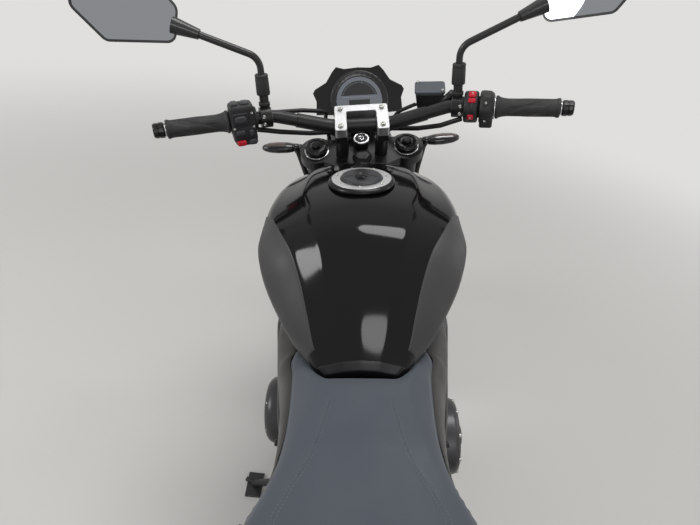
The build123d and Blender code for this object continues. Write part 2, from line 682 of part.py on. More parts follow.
def seat():
    return loft([seat_section(row) for row in SEAT_ROWS]) - tank_body(SOFT_GAP)


def side_panels():
    panel = side([(-112, 690), (-104, 764), (-330, 764), (-310, 700), (-190, 676), (-124, 676)],
                 PANEL_X, PANEL_X + 8, 10)
    pin = rod((98, -190, 717), (PANEL_X + 2, -190, 717), 8)
    return both(panel + pin - rear_frame())


def slabs(rows):
    """Straight-sided slabs between cross sections, each narrower at the bottom."""
    body = None
    for row0, row1 in zip(rows, rows[1:]):
        ends = [Plane((0, y, 0), x_dir=(1, 0, 0), z_dir=(0, -1, 0)) * make_face(Polyline(
            (14 - half, low), (half - 14, low), (half, top), (-half, top), close=True))
            for y, half, low, top in (row0, row1)]
        body = loft(ends) if body is None else body + loft(ends)
    return body


def tail_unit():
    return slabs(TAIL_FLOOR) + slabs(TAIL_HUMP)


def rear_mudguard():
    """The short guard in front of and over the rear tyre, on the swingarm's legs."""
    inner, width = REAR_TYRE_R + 14.0, 90.0
    strip = make_face(Polyline(
        (-width, inner - 44), (-width + 30, inner + 4), (width - 30, inner + 4), (width, inner - 44),
        (width - 5, inner - 44), (width - 33, inner), (-width + 33, inner), (-width + 5, inner - 44),
        close=True))
    guard = Pos(*REAR_CENTRE) * Rot(24, 0, 0) * revolve(strip, Axis.X, revolution_arc=62)
    tab = box(width + 12, ARM_INNER + 12, REAR_Y + 236, REAR_Y + 262, 352, 472)
    tab += box(width - 5, width + 14, REAR_Y + 236, REAR_Y + 262, 458, 472)
    return guard + tab - swingarm()


def plate_hanger():
    """The blank number plate behind the wheel, held by an arm from the swingarm's left leg."""
    out = ARM_INNER + ARM_T
    arm = pipe([(-out - 8, REAR_Y + 134, REAR_TYRE_R + 34), (-out - 8, REAR_Y - 30, REAR_TYRE_R + 60),
                (-out + 10, REAR_Y - 240, 500), (-20, PLATE_Y + 14, 566)], 9, 50)
    foot = box(-out - 14, -out, REAR_Y + 112, REAR_Y + 148, REAR_TYRE_R + 2, REAR_TYRE_R + 50)
    plate = Pos(0, PLATE_Y, 562) * Rot(10, 0, 0) * Box(200, 5, 150)
    block = box(-66, 66, PLATE_Y, PLATE_Y + 36, 552, 580)
    return arm + foot + plate + block - swingarm()


def rear_lamps():
    """The tail lamp and the two rear indicators."""
    lamp = box(-40, 40, -802, -792, 810, 834)
    stalk = rod((66, PLATE_Y + 20, 566), (98, PLATE_Y + 20, 566), 6)
    body = rod((96, PLATE_Y + 20, 566), (160, PLATE_Y + 20, 570), 10, 15)
    return Compound([*lamp.solids(), *both(stalk + body - plate_hanger()).solids()])


# Foot controls
def footrests():
    """Rider's and pillion's pegs on their hangers, with the gear lever and the brake pedal."""
    out = PLATE_X + PLATE_T
    py, pz = PIVOT
    hanger = side([(py + 40, pz + 60), (py - 20, pz + 60), (py - 44, pz - 20), (py - 20, pz - 60),
                   (py + 10, pz - 70), (py + 30, pz - 10)], out, out + 8, 8)
    peg = rod((out + 8, py - 8, pz - 52), (out + 96, py - 16, pz - 48), 11)
    lever = rod((out + 8, py + 6, pz - 46), (out + 30, py + 6, pz - 46), 8)
    lever += pipe([(out + 24, py + 6, pz - 46), (out + 26, py + 50, pz - 74),
                   (out + 30, py + 138, pz - 84)], 6, 30)
    lever += rod((out + 30, py + 132, pz - 84), (out + 72, py + 132, pz - 82), 8)
    rear = side([(-440, 740), (-484, 740), (-430, 520), (-404, 520)], 104, 111, 6)
    rear += rod((110, -416, 532), (196, -420, 534), 10)
    rear += rod((80, -464, 728), (106, -464, 728), 8)
    solids = [*(hanger + peg + lever - swing_space()).solids(), *(rear - rear_frame()).solids()]
    return both(Compound(solids))


def swing_space():
    """Room beside the swingarm's legs."""
    return box(0, ARM_INNER + ARM_T + 0.5, PIVOT[0] - 300, PIVOT[0] - 36, 300, 470)


# Fork and steering head, drawn in the fork's own frame: z up the steering axis, y forward
def at_legs(shape):
    """The shape at both fork legs."""
    right = Pos(FORK_HALF, FORK_OFFSET, 0) * shape
    left = Pos(-FORK_HALF, FORK_OFFSET, 0) * mirror(shape, Plane.YZ)
    return Compound([*right.solids(), *left.solids()])


def column(radius, z0, z1):
    return Pos(0, 0, (z0 + z1) / 2) * Cylinder(radius, z1 - z0)


def fork_tubes():
    tube = column(FORK_TUBE_R, FORK_TUBE_BOTTOM, FORK_TOP - CAP_H)
    cap = chamfer(column(FORK_TUBE_R - 1.5, FORK_TOP - CAP_H, FORK_TOP).edges().sort_by(Axis.Z)[-1], 2)
    nut = Pos(0, 0, FORK_TOP - 1) * extrude(RegularPolygon(9, 6), 6)
    seal = column(FORK_TUBE_R + 2.5, FORK_TUBE_BOTTOM - 12, FORK_TUBE_BOTTOM + 8)
    leg = tube + cap + seal + nut - column(SLIDER_R, 0, FORK_TUBE_BOTTOM + 200)
    return FORK * at_legs(leg)


def fork_sliders():
    leg = column(SLIDER_R, LUG_TOP - 30, FORK_TUBE_BOTTOM + 200)
    return FORK * at_legs(leg)


def fork_feet():
    """The cast feet that hold the axle, the calipers and the mudguard."""
    foot = column(LUG_R, -30, LUG_TOP) - column(SLIDER_R, LUG_TOP - 30, LUG_TOP + 10)
    foot += Rot(0, 90, 0) * Cylinder(LUG_R + 6, 2 * LUG_R)
    foot -= Rot(0, 90, 0) * Cylinder(AXLE_R, 4 * LUG_R)
    return FORK * at_legs(foot)


def front_calipers():
    """Two sliding calipers behind the fork legs."""
    angle = 148.0 + RAKE
    one = caliper(FRONT_DISC_X, FRONT_CENTRE, FRONT_DISC_R, angle, FORK_HALF + 6)
    arm = FORK * Pos(FORK_HALF, FORK_OFFSET, 0) * box(-6, 6, -120, -LUG_R + 4, 44, 100)
    foot = FORK * Pos(FORK_HALF, FORK_OFFSET, 0) * column(LUG_R, -30, LUG_TOP)
    return both(one + arm - foot)


def top_yoke():
    z0, z1 = TOP_YOKE_BASE, YOKE_TOP
    boss = FORK_TUBE_R + YOKE_WALL
    plan = Circle(36) + make_face(Polyline(
        (-FORK_HALF, FORK_OFFSET + 30), (FORK_HALF, FORK_OFFSET + 30), (FORK_HALF, FORK_OFFSET - 26),
        (40, -30), (-40, -30), (-FORK_HALF, FORK_OFFSET - 26), close=True))
    for x in (-FORK_HALF, FORK_HALF):
        plan += Pos(x, FORK_OFFSET) * Circle(boss)
    yoke = extrude(Plane.XY.offset(z0) * plan, z1 - z0)
    for x in (-FORK_HALF, FORK_HALF):
        yoke -= Pos(x, FORK_OFFSET, 0) * column(FORK_TUBE_R, z0 - 1, z1 + 1)
    yoke -= column(STEM_R, z0 - 1, z1 + 1)
    yoke += Pos(0, LOCK_AT, 0) * column(18, z0, z1 + 20)
    bar_y, bar_z = bar_in_fork()
    for x in (-RISER_HALF, RISER_HALF):
        post = Pos(x, bar_y, 0) * column(RISER_R, z1, bar_z - 6)
        seat_block = Pos(x, bar_y, bar_z - CLAMP_SPLIT / 2 - 12) * Box(CLAMP_W, CLAMP_LEN - 18, 24)
        yoke += post + seat_block
    whole = FORK * yoke
    return whole - handlebar()


def bar_in_fork():
    """The bar's centre in the fork's frame, as y and z."""
    y, z = BAR_CENTRE[0] - HEAD_BASE_Y, BAR_CENTRE[1] - HEAD_BASE_Z
    return y * cos(radians(RAKE)) + z * sin(radians(RAKE)), z * cos(radians(RAKE)) - y * sin(radians(RAKE))


def bottom_yoke():
    z1 = BOTTOM_YOKE_TOP
    z0 = z1 - BOTTOM_YOKE_T
    boss = FORK_TUBE_R + YOKE_WALL
    plan = make_face(Polyline(
        (-FORK_HALF, FORK_OFFSET + 26), (FORK_HALF, FORK_OFFSET + 26), (FORK_HALF, FORK_OFFSET - 28),
        (30, -32), (-30, -32), (-FORK_HALF, FORK_OFFSET - 28), close=True))
    for x in (-FORK_HALF, FORK_HALF):
        plan += Pos(x, FORK_OFFSET) * Circle(boss)
    yoke = extrude(Plane.XY.offset(z0) * plan, z1 - z0)
    for x in (-FORK_HALF, FORK_HALF):
        yoke -= Pos(x, FORK_OFFSET, 0) * column(FORK_TUBE_R, z0 - 1, z1 + 1)
    yoke += column(STEM_R, z0, YOKE_TOP + 4)
    yoke -= column(STEM_BORE_R, z0 - 1, z0 + STEM_BORE_DEPTH)
    return FORK * yoke


def bar_point(dx, dy, dz):
    return (dx, BAR_CENTRE[0] + dy, BAR_CENTRE[1] + dz)


def handlebar():
    """A tapered bar: thick in the middle, thin where the grips are."""
    knee, end = Vector(*bar_point(*BAR_BEND)), Vector(*bar_point(*BAR_END))
    flat = Vector(*bar_point(BAR_FLAT, 0, 0))
    along = (end - knee).normalized()
    rise = (knee - flat).normalized()
    taper = knee - rise * 46
    half = pipe([bar_point(0, 0, 0), flat, taper], BAR_R, 60)
    half += pipe([taper, knee, end - along * 4], GRIP_BAR_R + 1.4, 40)
    return half + mirror(half, Plane.YZ)


def grip_line(distance):
    """A point on the right grip's axis, a distance in from the bar's tip."""
    knee, end = Vector(*bar_point(*BAR_BEND)), Vector(*bar_point(*BAR_END))
    return end + (knee - end).normalized() * distance


def grips():
    """The rubber grips, and the weights in the bar's ends."""
    start, end = grip_line(WEIGHT_LEN + GRIP_LEN), grip_line(WEIGHT_LEN + 1)
    grip = rod(start, end, GRIP_R) + rod(start, grip_line(WEIGHT_LEN + GRIP_LEN - 6), GRIP_R + 5)
    weight = rod(grip_line(WEIGHT_LEN), grip_line(0), WEIGHT_R, WEIGHT_R - 2)
    solids = [*(grip - handlebar()).solids(), *(weight - handlebar()).solids()]
    return both(Compound(solids))


def bar_clamp():
    """The polished top clamp: a pad over each riser, joined by a beam in front."""
    bar_y, bar_z = bar_in_fork()
    plate = box(-RISER_HALF - CLAMP_W / 2, RISER_HALF + CLAMP_W / 2, -CLAMP_LEN / 2,
                               CLAMP_LEN / 2, CLAMP_SPLIT / 2, BAR_R + CLAMP_T - 5)
    plate -= box(-RISER_HALF + CLAMP_W / 2, RISER_HALF - CLAMP_W / 2, -CLAMP_LEN, CLAMP_LEN / 2 - 17, -5, 60)
    plate = fillet(plate.edges().filter_by(Axis.Z), 5)
    return FORK * Pos(0, bar_y, bar_z) * plate - handlebar()


def switchgear():
    """The switch housings, clamped round the bar inside each grip."""
    left_in, left_out = grip_line(WEIGHT_LEN + GRIP_LEN + 54), grip_line(WEIGHT_LEN + GRIP_LEN + 3)
    housing = mirror(rod(left_in, left_out, 26), Plane.YZ)
    mid = (left_in + left_out) / 2
    x, y, z = -mid.X, mid.Y, mid.Z
    housing += Pos(x, y - 8, z - 2) * Rot(0, 0, 16.5) * Box(48, 44, 78)
    throttle = rod(grip_line(WEIGHT_LEN + GRIP_LEN + 30), grip_line(WEIGHT_LEN + GRIP_LEN + 3), 31)
    kill = rod(grip_line(WEIGHT_LEN + GRIP_LEN + 60), grip_line(WEIGHT_LEN + GRIP_LEN + 33), 30)
    bar = handlebar()
    parts = [(housing - bar), (throttle - bar), (kill - bar)]
    return Compound([s for p in parts for s in p.solids()])


def levers():
    """Clutch and brake levers on their perches, which also carry the mirrors."""
    a, b = grip_line(WEIGHT_LEN + GRIP_LEN + 84), grip_line(WEIGHT_LEN + GRIP_LEN + 62)
    ring = rod(a, b, 20)
    mid = (a + b) / 2
    perch = rod(mid, mid + Vector(8, 44, -6), 12)
    blade = pipe([mid + Vector(6, 42, -6), mid + Vector(60, 36, -8), mid + Vector(196, -14, -8)], 6, 60)
    tip = rod(mid + Vector(192, -12.5, -8), mid + Vector(200, -15.5, -8), 9)
    return both(ring + perch + blade + tip - handlebar())


def mirror_base():
    a, b = grip_line(WEIGHT_LEN + GRIP_LEN + 84), grip_line(WEIGHT_LEN + GRIP_LEN + 62)
    return (a + b) / 2


def mirrors():
    """Mirror stems with their boots, and the heads that hold the glass."""
    base = mirror_base() + Vector(0, 6, 19)
    top = base + Vector(-3, 0, 92)
    head = Vector(*MIRROR_CENTRE)
    stem = rod(base, base + Vector(-1, 0, 26), 9)
    boot = rod(base + Vector(-1, 0, 24), base + Vector(-2, 0, 62), 12)
    arm = pipe([base + Vector(-2, 0, 50), top, head + Vector(-86, 10, -26)], 6.5, 30)
    socket = rod(head + Vector(-118, 12, -40), head + Vector(-74, 12, -22), 9, 15)
    shell = mirror_place() * extrude(mirror_outline(0.0), -22, taper=22)
    cup = mirror_place() * extrude(mirror_outline(-4.0), -5)
    return both(stem + boot + arm + socket + shell - cup - levers())


def mirror_place():
    """The glass faces the rider: back, a little inward and up."""
    return Location(MIRROR_CENTRE, (78, 0, 0)) * Rot(0, 0, 8) * Rot(0, -8, 0)


def mirror_outline(grow):
    """The head's outline, wide and low, with its outer lower corner cut away."""
    points = [(-84, -38), (34, -46), (88, 6), (80, 42), (-64, 46), (-90, 20)]
    face = make_face(FilletPolyline(*points, radius=18, close=True))
    return offset(face, grow) if grow else face


def mirror_glass():
    return both(mirror_place() * Pos(0, 0, -4.5) * extrude(mirror_outline(-4.3), 3))


# Lamp, instrument and screen
def dial_place():
    return Location((0, *INSTRUMENT), (90 - INSTRUMENT_TILT, 0, 0))


def instrument():
    body = Pos(0, 0, -INSTRUMENT_T / 2) * Cylinder(INSTRUMENT_R, INSTRUMENT_T)
    body = chamfer(body.edges().filter_by(GeomType.CIRCLE), 5)
    body -= Pos(0, 0, -2) * Cylinder(INSTRUMENT_R - 8, 4.0)
    return dial_place() * body


def instrument_glass():
    return dial_place() * Pos(0, 0, -2.5) * Cylinder(INSTRUMENT_R - 8.2, 3.0)


def flyscreen():
    """A small stepped screen behind the instrument, over the lamp."""
    half = [(0, 76), (30, 74), (48, 79), (58, 68), (72, 47), (98, 33), (103, 25), (96, 7), (98, -22),
            (60, -24), (44, -62)]
    points = half + [(-x, y) for x, y in reversed(half[1:])]
    plate = extrude(Pos(0, 0, -INSTRUMENT_T - 5) * make_face(Polyline(*points, close=True)), 5)
    return dial_place() * plate - headlamp()


def headlamp():
    y, z = LAMP
    bowl = make_face(Polyline((0, -LAMP_DEPTH), (40, -LAMP_DEPTH + 8), (72, -50), (LAMP_R, -22), (LAMP_R, 0),
                              (LAMP_R - 6, 0), (LAMP_R - 6, -8), (0, -8), close=True))
    return Pos(0, y, z) * revolve(bowl, Axis.Y)


def headlamp_lens():
    """A lens with a domed face, let into the bowl's rim."""
    y, z = LAMP
    radius = LAMP_R - 6.2
    ball_r = (radius**2 + LENS_RISE**2) / (2 * LENS_RISE)
    dome = Pos(0, 0, LENS_RISE - ball_r) * Sphere(ball_r)
    lens = (Pos(0, 0, 2) * Cylinder(radius, 20)) & dome
    return Pos(0, y, z) * Rot(-90, 0, 0) * lens


def lamp_brackets():
    """Side plates from the fork tubes to the lamp, with the instrument's bracket."""
    collar = at_legs(column(FORK_TUBE_R + 5, 608, 630) - column(FORK_TUBE_R, 600, 640))
    y, z = LAMP
    shape = None
    for solid in (FORK * collar).solids():
        shape = solid if shape is None else shape + solid
    for sign in (-1, 1):
        x0, x1 = sorted((sign * LAMP_R, sign * (LAMP_R + 7)))
        shape += side([(y - 20, z + 14), (y - 4, z - 6), (y - 20, z - 22), (452, 860), (450, 884)], x0, x1, 4)
    shape += rod((-LAMP_R - 2, *LAMP_ROD), (LAMP_R + 2, *LAMP_ROD), 6)
    shape += box(-22, 22, 451, 463, 864, 1012)
    return shape - headlamp() - instrument() - flyscreen() - fork_tubes()


def front_indicators():
    x, y, z = 118.0, 440.0, 950.0
    stalk = rod((x + 12, y + 4, z - 84), (x + 32, y, z - 2), 6)
    body = rod((x + 30, y, z), (x + 112, y, z + 4), 13, 6)
    return both(stalk + body - fork_tubes() - lamp_brackets())


def front_mudguard():
    """A thin arch over the tyre, on a stay inside each fork leg that passes outside the disc."""
    inner, width = FRONT_TYRE_R + 13.0, STAY_X
    strip = make_face(Polyline(
        (-width, inner - 24), (-width + 10, inner + 4), (width - 10, inner + 4), (width, inner - 24),
        (width - 4, inner - 24), (width - 13, inner), (-width + 13, inner), (-width + 4, inner - 24),
        close=True))
    guard = Pos(*FRONT_CENTRE) * Rot(40, 0, 0) * revolve(strip, Axis.X, revolution_arc=112)
    foot_x = FORK_HALF - LUG_R
    stay = box(foot_x - 3.5, foot_x + 6, -16, 16, 84, 205)
    stay += box(STAY_X - 4, foot_x, -16, 16, 184, 205) + box(STAY_X - 4, STAY_X, -16, 16, 184, inner - 8)
    stay -= Pos(FORK_HALF, 0, 0) * (column(LUG_R, 0, LUG_TOP) + column(SLIDER_R + 3, LUG_TOP, 220))
    stays = FORK * Pos(0, FORK_OFFSET, 0) * stay
    return guard + stays + mirror(stays, Plane.YZ)


def reservoir():
    """The front brake's square fluid bottle and its pump, ahead of the right grip."""
    bottle = Pos(147, 398, 1068) * Rot(0, 0, -8) * Rot(-14, 0, 0)
    cup = bottle * (Box(58, 44, 34) + Pos(4, 0, -22) * Box(42, 34, 14))
    pump = rod((168, 382, 1050), mirror_base() + Vector(-4, 26, -2), 9)
    return cup + pump - levers() - handlebar()


def reservoir_lid():
    bottle = Pos(147, 398, 1068) * Rot(0, 0, -8) * Rot(-14, 0, 0)
    return bottle * Pos(0, 0, 19.5) * Box(62, 48, 5)


def cables():
    """Switch and clutch cables to the lamp's cross rod, and the front brake's hoses."""
    rod_y, rod_z = LAMP_ROD
    runs = [
        ([(-192, 371, 1057), (-124, 390, 1052), (-74, 412, 1040), (-78, 450, 1010),
          (-62, rod_y - 2, rod_z)], 4.5),
        ([(-214, 318, 1042), (-168, 340, 1026), (-110, 372, 1008), (-66, 420, 990), (-30, 458, 950),
          (-30, rod_y - 2, rod_z)], 5.0),
        ([(200, 320, 1040), (162, 340, 1021), (120, 366, 1008), (68, 418, 992), (30, 458, 950),
          (30, rod_y - 2, rod_z)], 5.0),
        ([(166, 383, 1050), (121, 399, 1050), (84, 405, 1034), (70, 436, 1004), (56, 453, 943),
          (56, rod_y - 2, rod_z)], 4.0),
    ]
    shapes = [pipe(points, radius, 20) for points, radius in runs]
    shapes.append(FORK * pipe([(84, -72, 106), (90, -34, 150), (FORK_HALF, -9, 220),
                               (FORK_HALF, -9, BOTTOM_YOKE_TOP - BOTTOM_YOKE_T + 2)], 4.0, 24))
    shapes.append(mirror(shapes[-1], Plane.YZ))
    rest = [levers(), switchgear(), reservoir(), lamp_brackets(), bottom_yoke(), front_calipers()]
    solids = []
    for shape in shapes:
        for other in rest:
            shape = shape - other
        solids += shape.solids()
    return Compound(solids)


def side_stand():
    """The stand's leg and foot, drawn where it stands on the ground when the machine leans."""
    foot = stand_foot_centre()
    leg = rod(STAND_PIVOT, foot, STAND_R + 2, STAND_R - 1)
    eye = Pos(*STAND_PIVOT) * Plane((0, 0, 0), z_dir=stand_axis()).location * Cylinder(20, 12)
    plate = (UPRIGHT.inverse() * floor_block(foot))
    stub = rod(foot, Vector(*foot) + Vector(-26, 12, 4), 6)
    return leg + eye + plate + stub - stand_bolt(10.2)


def floor_block(foot):
    """The flat foot, level with the ground."""
    on_floor = UPRIGHT * Pos(*foot)
    x, y = on_floor.position.X, on_floor.position.Y
    return box(x - FOOT_W / 2, x + FOOT_W / 2, y - FOOT_LEN / 2, y + FOOT_LEN / 2, 0, FOOT_T)


def stand_bolt(radius):
    axis = stand_axis()
    mid = Vector(*STAND_PIVOT)
    return rod(mid - axis * 16, mid + axis * 16, radius)


def stand_bracket():
    """The lug under the engine's left side that carries the stand on its bolt."""
    axis = stand_axis()
    mid = Vector(*STAND_PIVOT)
    inner = mid + axis * 13.3
    lug = rod(inner, inner + axis * 12, 22)
    lug += box(-128, -60, STAND_PIVOT[1] - 22, STAND_PIVOT[1] + 22, 252, 300)
    return lug - rod(inner - axis * 30, inner, 40) + stand_bolt(10)


def stand_foot_centre():
    """The leg's lower end, its height set by the ground under the leaning machine."""
    x, y = STAND_FOOT
    z = 0.0
    for _ in range(6):
        z -= (UPRIGHT * Pos(x, y, z)).position.Z - FOOT_T - 4.0
    return (x, y, z)


def stand_axis():
    """The bolt's axis: across the leg when down and when up."""
    down = (Vector(*stand_foot_centre()) - Vector(*STAND_PIVOT)).normalized()
    up = Vector(*STAND_UP).normalized()
    return down.cross(up).normalized()


def stand_range():
    """How far the stand folds, in degrees."""
    down = (Vector(*stand_foot_centre()) - Vector(*STAND_PIVOT)).normalized()
    return round(degrees(acos(down.dot(Vector(*STAND_UP).normalized()))), 1)


def settle():
    """The turn and lift that put both tyres on the ground when the machine leans."""
    pitch, lift = 0.0, 0.0
    for _ in range(8):
        place = Location((0, 0, lift)) * Location((0, 0, 0), (pitch, 0, 0)) * Location(
            (0, 0, 0), (0, -LEAN, 0))
        lows = []
        for centre, radius, crown, turn in (
                (FRONT_CENTRE, FRONT_TYRE_R, FRONT_CROWN_R, STEER),
                (REAR_CENTRE, REAR_TYRE_R, REAR_CROWN_R, Location())):
            hub = place * turn * Pos(*centre)
            tip = place * turn * Pos(centre[0] + 1, centre[1], centre[2])
            across = tip.position.Z - hub.position.Z
            lows.append(hub.position.Z - (radius - crown) * sqrt(1 - across**2) - crown)
        pitch -= degrees(asin((lows[0] - lows[1]) / WHEELBASE))
        lift -= (lows[0] + lows[1]) / 2
    return place


UPRIGHT = settle()

# Node name, what draws it, and whether it turns with the steering
NODES = (
    ("frame", frame, False),
    ("rear_frame", rear_frame, False),
    ("crankcase", crankcase, False),
    ("cylinders", cylinders, False),
    ("cylinder_head", cylinder_head, False),
    ("engine_covers", engine_covers, False),
    ("radiator", radiator, False),
    ("headers", headers, False),
    ("silencer", silencer, False),
    ("fuel_tank", fuel_tank, False),
    ("filler_ring", filler_ring, False),
    ("filler_lid", filler_lid, False),
    ("seat", seat, False),
    ("side_panels", side_panels, False),
    ("tail_unit", tail_unit, False),
    ("rear_lamps", rear_lamps, False),
    ("swingarm", swingarm, False),
    ("rear_axle", rear_axle, False),
    ("rear_caliper", rear_caliper, False),
    ("shock", shock, False),
    ("chain", chain, False),
    ("rear_mudguard", rear_mudguard, False),
    ("plate_hanger", plate_hanger, False),
    ("footrests", footrests, False),
    ("side_stand", side_stand, False),
    ("rear_tyre", lambda: tyre(REAR_CENTRE, REAR_TYRE_R, REAR_TYRE_W / 2, REAR_CROWN_R, REAR_BEAD_HALF),
     False),
    ("rear_rim", rear_rim, False),
    ("rear_disc", rear_disc, False),
    ("rear_sprocket", rear_sprocket, False),
    ("front_tyre", lambda: tyre(FRONT_CENTRE, FRONT_TYRE_R, FRONT_TYRE_W / 2, FRONT_CROWN_R,
                                FRONT_BEAD_HALF), True),
    ("front_rim", front_rim, True),
    ("front_discs", front_discs, True),
    ("front_axle", front_axle, True),
    ("fork_tubes", fork_tubes, True),
    ("fork_sliders", fork_sliders, True),
    ("fork_feet", fork_feet, True),
    ("front_calipers", front_calipers, True),
    ("front_mudguard", front_mudguard, True),
    ("bottom_yoke", bottom_yoke, True),
    ("top_yoke", top_yoke, True),
    ("handlebar", handlebar, True),
    ("bar_clamp", bar_clamp, True),
    ("grips", grips, True),
    ("switchgear", switchgear, True),
    ("levers", levers, True),
    ("mirrors", mirrors, True),
    ("mirror_glass", mirror_glass, True),
    ("instrument", instrument, True),
    ("instrument_glass", instrument_glass, True),
    ("flyscreen", flyscreen, True),
    ("headlamp", headlamp, True),
    ("headlamp_lens", headlamp_lens, True),
    ("lamp_brackets", lamp_brackets, True),
    ("cables", cables, True),
    ("front_indicators", front_indicators, True),
    ("reservoir", reservoir, True),
    ("reservoir_lid", reservoir_lid, True),
)


def build():
    """Every node in its parked place, with the origin under the middle of the whole machine."""
    shapes = {name: (UPRIGHT * STEER if steers else UPRIGHT) * make() for name, make, steers in NODES}
    boxes = [shape.bounding_box() for shape in shapes.values()]
    x = (min(b.min.X for b in boxes) + max(b.max.X for b in boxes)) / 2
    y = (min(b.min.Y for b in boxes) + max(b.max.Y for b in boxes)) / 2
    to_origin = Location((-x, -y, 0))
    return {name: to_origin * shape for name, shape in shapes.items()}, to_origin


if __name__ == "__main__":
    os.makedirs("parts", exist_ok=True)
    for name, shape in build()[0].items():
        export_step(shape, f"parts/{name}.step")
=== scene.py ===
"""A standard motorcycle with a three-cylinder engine, dressed over its CAD model.

Every piece is drawn as the upright machine in millimetres, X to the rider's right, Y forward and Z up,
and is set down through the place of the body that carries it.
"""
import json
import math

import bpy
import numpy as np
from mathutils import Matrix


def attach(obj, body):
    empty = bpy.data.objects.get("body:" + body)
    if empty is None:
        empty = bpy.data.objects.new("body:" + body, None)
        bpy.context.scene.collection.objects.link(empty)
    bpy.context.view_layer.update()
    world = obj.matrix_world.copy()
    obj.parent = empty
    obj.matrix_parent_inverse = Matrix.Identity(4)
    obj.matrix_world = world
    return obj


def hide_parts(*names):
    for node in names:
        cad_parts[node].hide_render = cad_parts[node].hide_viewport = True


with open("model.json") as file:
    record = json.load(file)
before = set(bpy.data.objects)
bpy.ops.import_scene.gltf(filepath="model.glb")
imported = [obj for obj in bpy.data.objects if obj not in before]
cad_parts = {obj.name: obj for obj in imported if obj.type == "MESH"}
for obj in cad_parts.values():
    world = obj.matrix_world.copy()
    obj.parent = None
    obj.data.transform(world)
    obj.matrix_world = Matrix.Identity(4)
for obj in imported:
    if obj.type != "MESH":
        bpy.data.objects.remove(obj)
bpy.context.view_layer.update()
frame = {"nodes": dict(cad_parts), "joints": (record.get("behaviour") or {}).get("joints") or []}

# Where the machine stands: it leans on its side stand with the steering turned a little left. The wheels'
# and the steering's own axes give two places, one for what the chassis carries and one for what steers.
RAKE = math.radians(24.6)
joint_of = {joint["name"]: joint for joint in frame["joints"]}


def standing_place(wheel, centre):
    """The 4 by 4 place of a body: X along its wheel's axle, Y and Z set square to the steering axis."""
    across = np.array(joint_of[wheel]["axis"], float)
    head = np.array(joint_of["steering"]["axis"], float)
    square = np.cross(across, head)
    ahead = -math.sin(RAKE) * head - math.cos(RAKE) * square
    above = math.cos(RAKE) * head - math.sin(RAKE) * square
    place = np.eye(4)
    place[:3, :3] = np.stack([across, ahead, above], axis=1) * 0.001
    place[:3, 3] = np.array(joint_of[wheel]["pos_m"], float) - place[:3, :3] @ np.array(centre, float)
    return place


CHASSIS = standing_place("rear_wheel_spin", (0.0, -700.5, 315.0))
STEERED = standing_place("front_wheel_spin", (0.0, 700.5, 300.0))
PLACES = {body: CHASSIS for body in ("chassis", "rear_wheel", "side_stand", "filler_lid")}
PLACES |= {body: STEERED for body in ("steering", "front_wheel")}
FORK_TURN = np.array([[1, 0, 0], [0, math.cos(RAKE), -math.sin(RAKE)], [0, math.sin(RAKE), math.cos(RAKE)]])
FORK_FOOT = np.array([0.0, 675.73, 288.66])


def in_fork(points):
    """Points of the fork's own frame, with z up the steering axis, as points of the upright machine."""
    return np.asarray(points, float) @ FORK_TURN.T + FORK_FOOT


# The main frame: steel tubes welded to a head tube and pivot plates, shot blasted and painted satin black.
def socket_in(tree, name, value):
    tree.inputs[name].default_value = value


def span(nodes, low_in, high_in, low_out, high_out):
    """A node that maps one span of values onto another and holds it at both ends."""
    mapped = nodes.new("ShaderNodeMapRange")
    socket_in(mapped, "From Min", low_in)
    socket_in(mapped, "From Max", high_in)
    socket_in(mapped, "To Min", low_out)
    socket_in(mapped, "To Max", high_out)
    return mapped


